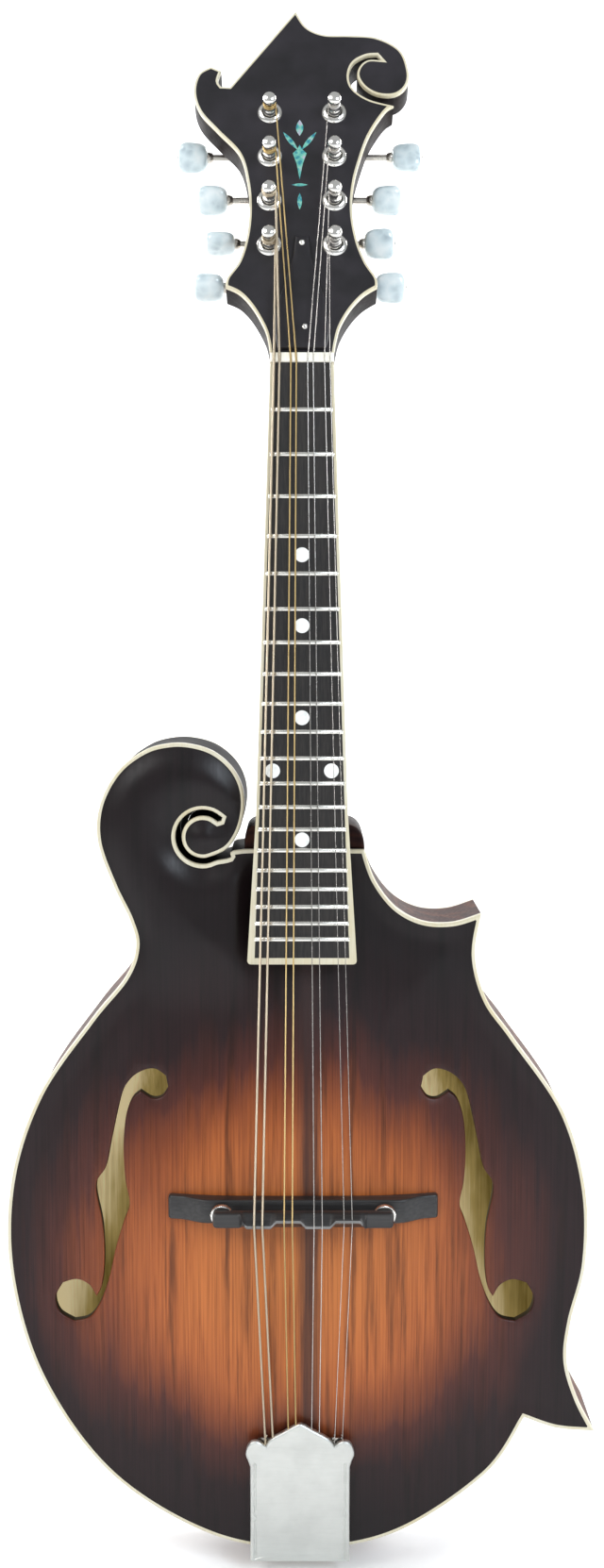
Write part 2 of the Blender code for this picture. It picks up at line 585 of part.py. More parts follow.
def build_tuners():
    """Two plates of four worm tuners: plate, posts with their gears, and worm shafts with buttons."""
    for name, side in (("bass", -1), ("treble", 1)):
        x = side * POST_X
        back = PLATE_FRONT - PLATE_THICK
        plate = box(f"tuner_plate_{name}", (x - 7.2, 39.0, back), (x + 7.2, 127.0, PLATE_FRONT), HEAD, NICKEL)
        lugs = []
        holes = []
        for y in POST_ROWS:
            for lug_x in (x - 5.0, x + 5.0):
                lugs.append(guide_box((lug_x - 1.1, y - WORM_DROP - 3.0, WORM_HEIGHT - 3.0),
                                      (lug_x + 1.1, y - WORM_DROP + 1.9, PLATE_FRONT - 0.5), HEAD))
            holes.append(guide_cylinder((x, y, back), (0, 0, 1), POST_RADIUS + 0.4, 6.0, HEAD))
            holes.append(guide_cylinder((x, y - WORM_DROP, WORM_HEIGHT), (1, 0, 0), SHAFT_RADIUS + GAP, 20.0, HEAD))
        boolean(plate, lugs, "UNION")
        boolean(plate, holes)
        for row, y in enumerate(POST_ROWS):
            profile = [(0.0, POST_TOP), (2.2, POST_TOP), (POST_RADIUS, POST_TOP - 1.0), (POST_RADIUS, 9.5),
                       (2.4, 8.8), (2.4, 4.2), (POST_RADIUS, 3.4), (POST_RADIUS, GEAR_FRONT),
                       (GEAR_RADIUS, GEAR_FRONT), (GEAR_RADIUS, GEAR_BACK), (0.0, GEAR_BACK)]
            turned(f"post_{name}_{row + 1}", profile, (x, y, 0.0), HEAD, NICKEL)
            axis = empty(f"worm_axis_{name}_{row + 1}", (0.0, y - WORM_DROP, WORM_HEIGHT), parent=HEAD)
            reach = BUTTON_REACH[row] + side * BUTTON_SHIFT
            rings = button_rings(side, reach, BUTTON_TURNS[name][row])
            loft(f"button_{name}_{row + 1}", rings, axis, PEARL)


def base_ring(x):
    """A section across the bridge base, resting on the arch."""
    near = BRIDGE_Y + BASE_DEPTH / 2
    far = BRIDGE_Y - BASE_DEPTH / 2
    floor = max(top_height(BRIDGE_X + x, y) for y in (near, BRIDGE_Y, far)) + GAP
    top = floor + 3.6 + (BASE_TOP - floor - 3.6) * smoothstep(-abs(x), -52.0, -40.0)
    return [(BRIDGE_X + x, near, floor), (BRIDGE_X + x, near, top), (BRIDGE_X + x, far, top),
            (BRIDGE_X + x, far, floor)]


def build_bridge():
    """Base, studs, thumbwheels and the saddle that they carry."""
    base = loft("bridge_base", [base_ring(BASE_HALF * step / 12) for step in range(-12, 13)], BODY, EBONY)
    studs = [-STUD_X, STUD_X]
    boolean(base, [guide_cylinder((x, 0.0, 0.0), (0, 0, 1), STUD_HOLE, 7.0, BRIDGE) for x in studs])
    saddle = box("bridge_saddle", (-SADDLE_HALF, -3.3, SADDLE_LOW), (SADDLE_HALF, 3.3, 8.7), BRIDGE, EBONY)
    tiers = ((28.2, 3.2, 8.0), (26.0, 3.0, 9.6), (24.8, CREST_HALF, CREST))
    ridge = [[(-x, -depth, z), (x, -depth, z), (x, depth, z), (-x, depth, z)] for x, depth, z in tiers]
    boolean(saddle, [loft("guide_crest", ridge, BRIDGE, None, CUTTERS)], "UNION")
    boolean(saddle, [guide_cylinder((x, 0.0, SADDLE_LOW), (0, 0, 1), STUD_HOLE, 6.4, BRIDGE) for x in studs])
    for name, x in zip(("bass", "treble"), studs):
        ring = [(STUD_HOLE, WHEEL_HIGH), (WHEEL_RADIUS, WHEEL_HIGH), (WHEEL_RADIUS, WHEEL_LOW),
                (STUD_HOLE, WHEEL_LOW), (STUD_HOLE, WHEEL_HIGH)]
        turned(f"thumbwheel_{name}", ring, (x, 0.0, 0.0), BRIDGE, BRASS)
        cylinder(f"bridge_stud_{name}", (x, 0.0, (STUD_LOW + STUD_TOP) / 2), (0, 0, 1), STUD_RADIUS,
                 STUD_TOP - STUD_LOW, BRIDGE, BRASS, sides=12)


def build_tailpiece():
    """The base with its hook rail and tail flange, and the cover that slides off it."""
    side_view = [(-461.0, 21.9), (-461.0, 23.1), (-466.5, 22.5), (-466.5, 24.0), (-468.5, 24.0), (-468.5, 22.3),
                 (-515.4, 17.0), (-518.0, 15.6), (-518.0, -12.0), (-516.6, -12.0), (-516.6, 14.6),
                 (-514.6, 15.6)]
    rings = [[(x, y, z) for y, z in side_view] for x in (-19.0, 18.0)]
    loft("tailpiece_base", rings, BODY, NICKEL)
    loop = COVER_SIDE + [(2 * COVER_AXIS - x, y) for x, y in reversed(COVER_SIDE[:-1])]
    front = slab("tailpiece_cover", [[(x, y - TAIL_Y) for x, y in loop]], -COVER_THICK, 0.0, TAIL, NICKEL)
    low_x, high_x = COVER_SIDE[0][0], 2 * COVER_AXIS - COVER_SIDE[0][0]
    sides = [guide_box((x, -66.0, -5.0), (x + COVER_THICK, -22.0, -0.1), TAIL)
             for x in (low_x, high_x - COVER_THICK)]
    end = guide_box((low_x, -67.3, -4.2), (high_x, -66.3, -0.1), TAIL)
    boolean(front, sides + [end], "UNION")


def string_tube(name, points, gauge):
    """A thin round wire through points in world millimetres."""
    curve = bpy.data.curves.new(name, "CURVE")
    curve.dimensions = "3D"
    curve.bevel_depth = gauge / 2 * MM
    curve.bevel_resolution = 1
    curve.use_fill_caps = True
    spline = curve.splines.new("POLY")
    spline.points.add(len(points) - 1)
    for knot, point in zip(spline.points, points):
        knot.co = (*[value * MM for value in point], 1.0)
    return add_object(name, curve_mesh(curve), None, WIRE)


def build_strings():
    """Eight strings in four pairs, hooked at the tail, over the saddle and the nut to their posts."""
    bpy.context.view_layer.update()
    for index, gauge in enumerate(STRING_GAUGES):
        pair = index // 2 - 1.5
        within = (index % 2 - 0.5)
        radius = gauge / 2
        side, row = POST_OF_STRING[index]
        sign = -1 if side == "bass" else 1
        tail = BODY.matrix_world @ Vector(((0.8 + 9.9 * pair + 3.3 * within) * MM, -0.4655, 0.0236))
        crest = BRIDGE.matrix_world @ Vector(((12.5 * pair + 3.4 * within) * MM, 0.0,
                                              (CREST + GAP + 0.05 + radius) * MM))
        over_nut = NECK.matrix_world @ Vector(((7.0 * pair + 2.3 * within) * MM, 0.0005,
                                               (NUT_TOP + GAP + radius) * MM))
        post_side = sign * (POST_X - 2.4 - GAP - radius)
        post = HEAD.matrix_world @ Vector((post_side * MM, (POST_ROWS[row] - 0.5) * MM, WIND_HEIGHTS[row] * MM))
        string_tube(f"string_{index + 1}", [point / MM for point in (tail, crest, over_nut, post)], gauge)


clear_scene()
PARTS = new_collection("mandolin")
CUTTERS = new_collection("cutters")

SPRUCE = material("sunburst_spruce", (0.42, 0.17, 0.06), 0.45)
SPRUCE_RAW = material("bare_spruce", (0.72, 0.58, 0.36), 0.7)
MAPLE = material("dark_maple", (0.10, 0.045, 0.03), 0.4)
MAHOGANY = material("block_wood", (0.40, 0.22, 0.12), 0.7)
EBONY = material("ebony", (0.02, 0.018, 0.02), 0.4)
IVORY = material("ivory_binding", (0.86, 0.82, 0.68), 0.35)
NICKEL = material("nickel", (0.80, 0.81, 0.79), 0.25, 1.0)
STEEL = material("rod_steel", (0.55, 0.55, 0.56), 0.4, 1.0)
BRASS = material("brass", (0.75, 0.60, 0.35), 0.35, 1.0)
PEARL = material("pearl_button", (0.86, 0.88, 0.86), 0.2)
WIRE = material("string_wire", (0.62, 0.52, 0.38), 0.3, 1.0)

OUTLINE = body_outline()
BODY = empty("body_frame", tilt=90.0)
NECK = empty("neck_frame", (0.0, -BOARD_FACE, 0.0), tilt=90.0 - NECK_ANGLE)
HEAD = empty("head_frame", HEAD_ORIGIN, tilt=-HEAD_ANGLE, parent=NECK)
BRIDGE = empty("bridge_frame", (BRIDGE_X, BRIDGE_Y, BASE_TOP), tilt=BRIDGE_LEAN, parent=BODY)
TAIL = empty("tail_frame", (0.0, TAIL_Y, TAIL_HEIGHT), tilt=TAIL_SLOPE, parent=BODY)

build_body()
build_neck()
build_tuners()
build_bridge()
build_tailpiece()
build_strings()
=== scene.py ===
"""Looks of a scroll-bodied mandolin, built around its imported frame.

Lengths are millimetres in an assembly's own frame until a mesh is made: x to the treble side, y up the
assembly and z out of its front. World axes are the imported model's: +Z up, -Y out of the front.
"""
import math

import bmesh
import bpy
import numpy as np
from mathutils import Matrix, Vector, geometry


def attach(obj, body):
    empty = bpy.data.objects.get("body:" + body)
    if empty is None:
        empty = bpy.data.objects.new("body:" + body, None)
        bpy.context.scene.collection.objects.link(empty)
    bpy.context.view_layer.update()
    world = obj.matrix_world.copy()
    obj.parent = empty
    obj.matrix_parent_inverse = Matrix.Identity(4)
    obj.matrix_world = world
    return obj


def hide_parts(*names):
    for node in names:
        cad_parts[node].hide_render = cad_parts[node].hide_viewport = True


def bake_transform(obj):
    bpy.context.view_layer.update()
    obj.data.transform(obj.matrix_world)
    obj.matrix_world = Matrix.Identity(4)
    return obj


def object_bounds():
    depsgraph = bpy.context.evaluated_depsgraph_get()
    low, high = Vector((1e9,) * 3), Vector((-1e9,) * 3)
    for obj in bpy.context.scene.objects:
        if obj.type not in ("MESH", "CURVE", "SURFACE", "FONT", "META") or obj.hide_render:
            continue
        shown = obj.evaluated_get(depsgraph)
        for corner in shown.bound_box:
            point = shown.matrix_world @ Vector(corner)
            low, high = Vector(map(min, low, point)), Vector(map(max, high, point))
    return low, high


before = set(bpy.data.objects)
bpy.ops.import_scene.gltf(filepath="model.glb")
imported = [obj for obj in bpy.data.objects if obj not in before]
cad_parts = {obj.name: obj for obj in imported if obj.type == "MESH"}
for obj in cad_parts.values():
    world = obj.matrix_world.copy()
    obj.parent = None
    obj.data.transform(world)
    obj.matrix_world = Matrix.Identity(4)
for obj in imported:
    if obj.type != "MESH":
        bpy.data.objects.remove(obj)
CAD_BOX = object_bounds()

MM = 0.001

# Body
EDGE_FRONT = 14.0
EDGE_BACK = -30.0
PLATE = 4.5
BINDING = 1.6
BINDING_DEPTH = 3.2
TOP_ARCH = 15.0
BACK_ARCH = 13.0
DOME = 3.0
DOME_CENTRE_Y = -365.0
DOME_REACH = (125.0, 150.0)
ARCH_START = 8.0
ARCH_END = 100.0
RECURVE_DEPTH = 0.5
RECURVE_PLACE = 8.0
RECURVE_WIDTH = 4.0
RIDGE = 3.6
RIDGE_FADE = (40.0, 78.0)
SLOT_CENTRE = (-42.3, -199.6)
SLOT_RADIUS = 10.4
SLOT_HALF = 1.4
SLOT_TIP = 45.0
# Round the scroll the sides are painted black as shade.
SCROLL_SIDE_X = -20.0            # the sides are black to the left of this and above the next
SCROLL_SIDE_Y = -225.0
F_MIRROR = -3.2

# Neck and headstock
NECK_ANGLE = 5.3
HEAD_ANGLE = 15.0
BOARD_FACE = 10.0
SCALE_LENGTH = 352.4
FRETS = 20
FRET_HEIGHT = 1.0
FRET_WIDTH = 2.0
BOARD_THICK = 5.5
BOARD_END = 249.3
BOARD_HALF_NUT = 12.0
BOARD_HALF_END = 19.8
BOARD_SIDE = [(13.4, -0.3), (19.3, -190.0), (22.9, -252.0)]
UNDER_BOARD = -BOARD_THICK - 0.1
JOINT_Y = -204.7
HEEL = [(-24.6, JOINT_Y), (-24.4, -200.0), (-23.4, -196.8), (-20.4, -194.8), (-15.0, -194.2),
        (15.0, -194.2), (21.4, -194.8), (24.6, -197.0), (26.3, -200.4), (26.8, JOINT_Y)]
HEEL_DEPTH = (-28.0, 12.0)
DOT_FRETS = {5: (0.0,), 7: (0.0,), 10: (0.0,), 12: (-12.3, 12.3), 15: (0.0,)}
DOT_RADIUS = 3.1
NUT_HALF = 13.4
NUT_TOP = 1.3
OVERLAY = 2.0
HEAD_THICK = 16.0
HEAD_TRIM = 1.05
POST_X = 14.0
POST_ROWS = (118.0, 96.5, 75.0, 53.5)
POST_HOLE = 4.0
POST_RADIUS = 3.0
WAIST = 2.35
WAIST_LOW = 4.3
WAIST_HIGH = 8.7
GEAR_RADIUS = 6.3
GEAR_TEETH = 18
GEAR_TOOTH = 0.9
GEAR_BACK = -23.4
GEAR_FRONT = -18.6
PLATE_FRONT = -16.15
PLATE_BACK = -17.5
WORM_DROP = 8.7
WORM_HEIGHT = -20.9
SHAFT_RADIUS = 1.5
BUTTON_REACH = (47.5, 38.5, 35.0, 39.5)
BUTTON_SHIFT = -1.0
BUTTON_HALF = 7.0
BUTTON_STEPS = 22
BUTTON_TURNS = {"bass": (40.0, 50.0, 84.0, 62.0), "treble": (0.0, 50.0, 35.0, 30.0)}

# Bridge, tailpiece and strings
BRIDGE_X = 0.5
BRIDGE_Y = -356.5
BRIDGE_LEAN = 9.0
BASE_TOP = 35.2
BASE_HALF = 57.5
BASE_DEPTH = 10.2
STUD_X = 34.3
WHEEL_RADIUS = 4.9
KNURLS = 40
KNURL_DEPTH = 0.25
THREAD_TURNS = 17
THREAD_PITCH = 0.5
WHEEL_LOW = 1.7
WHEEL_HIGH = 4.2
SADDLE_LOW = 4.5
SADDLE_HALF = 38.0
SADDLE_SHOULDER = 8.7
SADDLE_SIDES = 12                # points round one section, and the side on top of the crest
SADDLE_CREST_SIDE = 6
CREST = 11.6
CREST_HALF_LENGTH = 24.8
TAIL_Y = -453.0
TAIL_HEIGHT = 27.6
TAIL_SLOPE = 7.4
COVER_AXIS = -0.9
COVER_SIDE = [(-22.6, -520.3), (-22.6, -474.0), (-23.4, -471.2), (-24.5, -467.4), (-22.9, -462.6),
              (-20.2, -461.2), (-17.8, -462.0), (-15.8, -463.8), (-13.6, -460.4), (-7.5, -456.6),
              (-2.6, -453.6), (COVER_AXIS, TAIL_Y)]
STRING_GAUGES = (1.0, 1.0, 0.66, 0.66, 0.4, 0.4, 0.3, 0.3)
WIND_HEIGHTS = (6.5, 6.5, 8.1, 4.9)
COIL_STEPS = 20                  # points in one turn round a post
POST_OF_STRING = (("bass", 3), ("bass", 2), ("bass", 1), ("bass", 0),
                  ("treble", 0), ("treble", 1), ("treble", 2), ("treble", 3))

# Places that looks depend on, in metres
BURST_MIDDLE = -0.388
BURST_SHIFT = 0.005
BURST_HALF_WIDTH = 0.100
BURST_ABOVE = 0.097
# The short reach towards the tail is part burst colour, part painted shade round the tailpiece cover.
BURST_BELOW = 0.083
# Painted shade: a dark streak down the top under the middle string pairs, at this x.
SHADE_STREAK_X = 0.0032
JOINT_DROP = 0.198
# The next four place the light painted inside the sound box.
F_DROP = 0.3724                  # the f-holes' middle, their lean, and how far each is from the centre line
F_LEAN = 0.29
F_BASS_X = 0.0847
F_TREBLE_X = 0.0779

# Outlines, each smooth but for its corners
CUTAWAY = [(26.6, -205.0), (31.2, -218.0), (40.0, -229.6), (51.5, -235.8), (64.5, -236.4), (76.8, -232.6)]
SCROLL = [(-31.5, -204.2), (-26.4, -196.0), (-24.4, -186.0), (-25.6, -177.0), (-30.0, -169.2),
          (-37.5, -163.0), (-46.5, -160.0), (-56.0, -159.6), (-67.0, -162.6), (-78.5, -171.5),
          (-86.2, -186.0), (-87.0, -202.0), (-80.6, -220.5), (-73.6, -235.5), (-71.2, -247.0),
          (-76.0, -260.4), (-91.0, -279.0),
          (-113.6, -312.0), (-126.2, -351.0), (-126.4, -394.0), (-113.0, -439.5), (-83.6, -481.6),
          (-41.0, -508.8), (0.0, -515.8), (41.0, -508.4), (80.4, -481.6), (97.4, -455.8)]
POINT_UNDER = [(97.4, -455.8), (111.5, -460.6), (128.2, -462.0)]
TREBLE_SIDE = [(128.2, -462.0), (120.6, -447.0), (115.8, -430.0), (117.4, -412.0), (123.4, -386.0),
               (122.8, -353.0), (112.8, -318.5), (91.0, -286.5), (79.4, -270.0), (74.3, -251.0),
               (76.8, -232.6)]
F_OUTLINE = [(-77.6, -311.1), (-73.7, -304.1), (-68.4, -300.4), (-63.0, -299.5), (-58.4, -302.3),
             (-57.4, -307.1), (-60.2, -311.1), (-64.4, -311.9), (-69.4, -309.1), (-73.2, -312.7),
             (-75.8, -320.5), (-76.8, -333.5), (-76.0, -347.5), (-74.2, -357.5), (-76.8, -365.5),
             (-80.4, -377.5), (-83.6, -391.5), (-87.8, -403.0), (-92.6, -409.7), (-99.2, -411.7),
             (-105.4, -407.9), (-107.2, -401.1), (-104.0, -394.7), (-97.8, -392.9), (-92.4, -395.1),
             (-89.2, -400.1), (-86.6, -394.5), (-85.4, -382.5), (-86.0, -367.5), (-88.8, -350.7),
             (-84.4, -342.0), (-81.8, -329.5)]
HEAD_OUTLINE = [(-13.4, 1.6), (-14.2, 8.0), (-16.0, 14.5), (-21.0, 24.0), (-26.5, 30.5), (-32.4, 33.6),
                (-31.8, 38.0), (-26.8, 46.0), (-23.8, 57.0), (-22.6, 70.0), (-23.6, 84.0), (-27.2, 97.5),
                (-36.6, 108.6), (-44.6, 118.5), (-47.4, 128.6), (-45.4, 137.5), (-40.0, 141.2),
                (-35.4, 139.0), (-36.8, 134.0), (-35.4, 131.2), (-31.6, 131.0), (-2.8, 169.6),
                (2.0, 161.5), (9.7, 157.6), (21.0, 157.2), (33.0, 156.0), (43.2, 149.6), (46.8, 139.0),
                (45.8, 131.6), (40.8, 127.0), (33.3, 127.0), (27.3, 130.7), (24.2, 136.4), (25.4, 141.6),
                (29.2, 144.7), (35.0, 144.5), (33.0, 147.1), (28.0, 146.5), (22.6, 142.9), (20.6, 136.4),
                (22.5, 130.1), (29.3, 124.8), (40.0, 121.6), (36.2, 118.6), (29.8, 108.0), (26.0, 97.5),
                (22.6, 84.0), (21.6, 70.0), (23.6, 56.0), (27.2, 45.5), (31.6, 38.0), (32.0, 33.6),
                (26.0, 29.5), (20.5, 23.0), (16.2, 15.0), (14.4, 8.0), (13.4, 1.6)]
TRUSS_BELL = [(-3.0, 57.0), (3.0, 57.0), (4.2, 47.0), (7.0, 36.0), (10.4, 24.0), (11.4, 12.0), (10.2, 4.2),
              (-10.2, 4.2), (-11.4, 12.0), (-10.4, 24.0), (-7.0, 36.0), (-4.2, 47.0)]


# Frames

def placed(x, y, z, tilt):
    """A frame at a place, turned about its x axis."""
    return Matrix.Translation((x * MM, y * MM, z * MM)) @ Matrix.Rotation(math.radians(tilt), 4, "X")


BODY = placed(0.0, 0.0, 0.0, 90.0)
NECK = placed(0.0, -BOARD_FACE, 0.0, 90.0 - NECK_ANGLE)
HEAD = NECK @ placed(0.0, 2.3, -3.3, -HEAD_ANGLE)
BRIDGE = BODY @ placed(BRIDGE_X, BRIDGE_Y, BASE_TOP, BRIDGE_LEAN)
TAIL = BODY @ placed(0.0, TAIL_Y, TAIL_HEIGHT, TAIL_SLOPE)


# Outlines and distances

def spline(run, step):
    """Points of a Catmull-Rom curve through a run, without its last."""
    padded = [run[0], *run, run[-1]]
    made = []
    for a, b, c, d in zip(padded, padded[1:], padded[2:], padded[3:]):
        count = max(1, math.ceil(math.dist(b, c) / step))
        for t in np.arange(count) / count:
            made.append(tuple(0.5 * (2 * q + (r - p) * t + (2 * p - 5 * q + 4 * r - s) * t ** 2
                                     + (3 * q - p - 3 * r + s) * t ** 3) for p, q, r, s in zip(a, b, c, d)))
    return made


def smooth_loop(points, step, corner=42.0):
    """A closed curve through points, sharp where it turns by more than the corner angle."""
    count = len(points)
    spots = [Vector(point) for point in points]
    corners = []
    for i in range(count):
        before = spots[i] - spots[i - 1]
        after = spots[(i + 1) % count] - spots[i]
        if math.degrees(before.angle(after)) > corner:
            corners.append(i)
    corners = corners or [0]
    made = []
    for a, b in zip(corners, corners[1:] + [corners[0] + count]):
        made += spline([points[i % count] for i in range(a, b + 1)], step)
    return made


def mirrored(half, middle=0.0):
    """The outline's half seen in a mirror at x = middle, in reverse order."""
    return [(2 * middle - x, y) for x, y in reversed(half)]


def arc(centre, radius, start, end, steps):
    """Points on a circular arc, in degrees, both ends included."""
    angles = [math.radians(start + (end - start) * i / steps) for i in range(steps + 1)]
    return [(centre[0] + radius * math.cos(a), centre[1] + radius * math.sin(a)) for a in angles]


def ring_loop(centre, radius, steps=32):
    """A circle as a closed outline."""
    return arc(centre, radius, 0.0, 360.0, steps)[:-1]


def body_outline():
    """The plate outline, with the scroll's slot."""
    outer = SLOT_RADIUS + SLOT_HALF
    inner = SLOT_RADIUS - SLOT_HALF
    loop = [(-25.0, -205.0), (-30.6, -208.6)]
    loop += arc(SLOT_CENTRE, outer, -60.0, -360.0 + SLOT_TIP, 11)
    loop += arc(SLOT_CENTRE, SLOT_RADIUS, SLOT_TIP, SLOT_TIP - 4.0, 1)[1:]
    loop += arc(SLOT_CENTRE, inner, SLOT_TIP, 290.0, 9)
    loop += SCROLL[:-1] + POINT_UNDER[:-1] + TREBLE_SIDE[:-1] + CUTAWAY[::-1]
    return smooth_loop(loop, 1.6)


def in_chunks(function):
    """Run a function of many points on a few thousand of them at a time."""
    def run(points, loops):
        points = np.asarray(points, float).reshape(-1, 2)
        parts = [function(points[i:i + 3000], loops) for i in range(0, len(points), 3000)]
        return np.concatenate(parts) if parts else np.zeros(0)
    return run


@in_chunks
def edge_distance(points, loops):
    """Distance from each point to the nearest of some closed outlines."""
    best = np.full(len(points), 1e9)
    for loop in loops:
        start = np.array(loop)
        along = np.roll(start, -1, 0) - start
        away = points[:, None, :] - start[None]
        share = np.clip((away * along).sum(2) / np.maximum((along ** 2).sum(1), 1e-12), 0.0, 1.0)
        best = np.minimum(best, np.linalg.norm(away - share[..., None] * along, axis=2).min(1))
    return best


@in_chunks
def is_inside(points, loops):
    """Whether each point lies within an odd number of the closed outlines."""
    x, y = points[:, :1], points[:, 1:]
    crossings = np.zeros(len(points), int)
    for loop in loops:
        start = np.array(loop)
        end = np.roll(start, -1, 0)
        rise = end[:, 1] - start[:, 1]
        rise[rise == 0.0] = 1e-12
        spans = (start[:, 1] > y) != (end[:, 1] > y)
        crossings += (spans & (x < start[:, 0] + (y - start[:, 1]) * (end[:, 0] - start[:, 0]) / rise)).sum(1)
    return crossings % 2 == 1


def inset(loop, distance):
    """The outline moved inwards, or outwards if negative; overtaken points are dropped."""
    here = np.array(loop)
    ahead = np.roll(here, -1, 0) - here
    ahead /= np.maximum(np.linalg.norm(ahead, axis=1), 1e-9)[:, None]
    mean = ahead + np.roll(ahead, 1, 0)
    mean /= np.maximum(np.linalg.norm(mean, axis=1), 1e-9)[:, None]
    area = (here[:, 0] * np.roll(here[:, 1], -1) - np.roll(here[:, 0], -1) * here[:, 1]).sum()
    turn = 1.0 if area > 0 else -1.0
    normal = np.stack([-mean[:, 1], mean[:, 0]], 1) * turn
    square = np.stack([-ahead[:, 1], ahead[:, 0]], 1) * turn
    lean = np.maximum((normal * square).sum(1), 0.25)
    moved = here + normal * (distance / lean)[:, None]
    keep = edge_distance(moved, [loop]) > 0.985 * abs(distance)
    keep &= is_inside(moved, [loop]) == (distance > 0)
    return [tuple(point) for point in moved[keep]]


def smoothstep(value, low, high):
    """0 below low, 1 above high, and smooth between."""
    share = np.clip((value - low) / (high - low), 0.0, 1.0)
    return share * share * (3.0 - 2.0 * share)


def rounded(distance, radius):
    """How far a rounded edge has dropped at a distance from it."""
    gap = np.clip(radius - distance, 0.0, radius)
    return radius - np.sqrt(radius ** 2 - gap ** 2)


# Shapes

class Shape:
    """Points in millimetres and faces, each face with its material's number."""

    def __init__(self, points, faces, looks=None):
        self.points = [tuple(point) for point in points]
        self.faces = [tuple(int(i) for i in face) for face in faces]
        self.looks = list(looks) if looks is not None else [0] * len(self.faces)

    def moved(self, matrix):
        """A copy carried by a matrix."""
        return Shape([matrix @ Vector(point) for point in self.points], self.faces, self.looks)

    def __add__(self, other):
        start = len(self.points)
        faces = self.faces + [tuple(i + start for i in face) for face in other.faces]
        return Shape(self.points + other.points, faces, self.looks + other.looks)


def at(x=0.0, y=0.0, z=0.0, turn=0.0, axis="Z"):
    """A move in millimetres after a turn in degrees."""
    return Matrix.Translation((x, y, z)) @ Matrix.Rotation(math.radians(turn), 4, axis)


def total(shapes):
    """Several shapes as one."""
    made = Shape([], [])
    for shape in shapes:
        made = made + shape
    return made


def loft(rings, closed=False):
    """A skin through rings of equal point counts, with end caps unless it closes on itself."""
    count = len(rings[0])
    points = [point for ring in rings for point in ring]
    faces = []
    rows = len(rings) if closed else len(rings) - 1
    for row in range(rows):
        a, b = row * count, (row + 1) % len(rings) * count
        faces += [(a + i, a + (i + 1) % count, b + (i + 1) % count, b + i) for i in range(count)]
    if not closed:
        faces += [tuple(range(count))[::-1], tuple(range(rows * count, (rows + 1) * count))]
    return Shape(points, faces)


def turned(profile, steps=32, ring=False):
    """A radius and height profile turned about z; a ring's profile closes on itself."""
    rings = []
    for radius, height in profile:
        angles = [2 * math.pi * i / steps for i in range(steps)]
        rings.append([(radius * math.cos(a), radius * math.sin(a), height) for a in angles])
    return loft(rings, closed=ring)


def tube(points, radius, sides=10):
    """A round rod along points; its radius may be a list."""
    spots = [Vector(point) for point in points]
    radii = radius if isinstance(radius, list) else [radius] * len(spots)
    side = (spots[1] - spots[0]).orthogonal().normalized()
    rings = []
    for i, (spot, size) in enumerate(zip(spots, radii)):
        ahead = (spots[min(i + 1, len(spots) - 1)] - spots[max(i - 1, 0)]).normalized()
        side = (side - ahead * side.dot(ahead)).normalized()
        up = ahead.cross(side)
        angles = [2 * math.pi * k / sides for k in range(sides)]
        rings.append([spot + (side * math.cos(a) + up * math.sin(a)) * size for a in angles])
    return loft(rings)


def lattice(loops, spacing):
    """Points of a triangular lattice inside the outlines, clear of their edges."""
    low = np.min(loops[0], axis=0)
    high = np.max(loops[0], axis=0)
    rows = np.arange(low[1] + spacing / 2, high[1], 0.866 * spacing)
    points = [(x + (i % 2) * spacing / 2, y) for i, y in enumerate(rows)
              for x in np.arange(low[0], high[0], spacing)]
    keep = is_inside(points, loops) & (edge_distance(points, loops) > 0.6 * spacing)
    return [point for point, kept in zip(points, keep) if kept]


def plate(loops, high, low, spacing=0.0, rings=(), looks=(0, 0, 0)):
    """A sheet inside the first outline and outside the rest, between two heights given as functions."""
    points = [point for loop in loops for point in loop]
    edges = []
    start = 0
    for loop in loops:
        edges += [(start + i, start + (i + 1) % len(loop)) for i in range(len(loop))]
        start += len(loop)
    for distance in rings:
        for number, loop in enumerate(loops):
            points += inset(loop, distance if number == 0 else -distance)
    if spacing:
        points += lattice(loops, spacing)
    found = geometry.delaunay_2d_cdt([Vector(point) for point in points], edges, [], 0, 1e-5)
    flat = np.array([tuple(point) for point in found[0]])
    triangles = np.array([face for face in found[2] if len(face) == 3])
    triangles = triangles[is_inside(flat[triangles].mean(1), loops)]
    count = len(flat)
    upper = np.column_stack([flat, high(flat)])
    lower = np.column_stack([flat, low(flat)])
    directed = {(t[i], t[(i + 1) % 3]) for t in triangles.tolist() for i in range(3)}
    walls = [(b, a, a + count, b + count) for a, b in sorted(directed) if (b, a) not in directed]
    faces = triangles.tolist() + (triangles[:, ::-1] + count).tolist() + walls
    numbers = [looks[0]] * len(triangles) + [looks[1]] * len(triangles) + [looks[2]] * len(walls)
    return Shape(np.vstack([upper, lower]).tolist(), faces, numbers)


def level(height):
    """A height function that is the same everywhere."""
    return lambda points: np.full(len(points), float(height))


def eased(height, loops, radius, sign=1.0):
    """A level height whose edges along the outlines are rounded off."""
    return lambda points: height - sign * rounded(edge_distance(points, loops), radius)


def to_mesh(shape, transform):
    """A clean mesh in metres."""
    mesh = bpy.data.meshes.new("shape")
    mesh.from_pydata(shape.points, [], shape.faces)
    mesh.polygons.foreach_set("material_index", shape.looks)
    work = bmesh.new()
    work.from_mesh(mesh)
    bmesh.ops.remove_doubles(work, verts=work.verts, dist=0.002)
    loose = [vert for vert in work.verts if not vert.link_faces]
    bmesh.ops.delete(work, geom=loose, context="VERTS")
    bmesh.ops.recalc_face_normals(work, faces=work.faces)
    work.to_mesh(mesh)
    work.free()
    mesh.transform(transform @ Matrix.Scale(MM, 4))
    return mesh


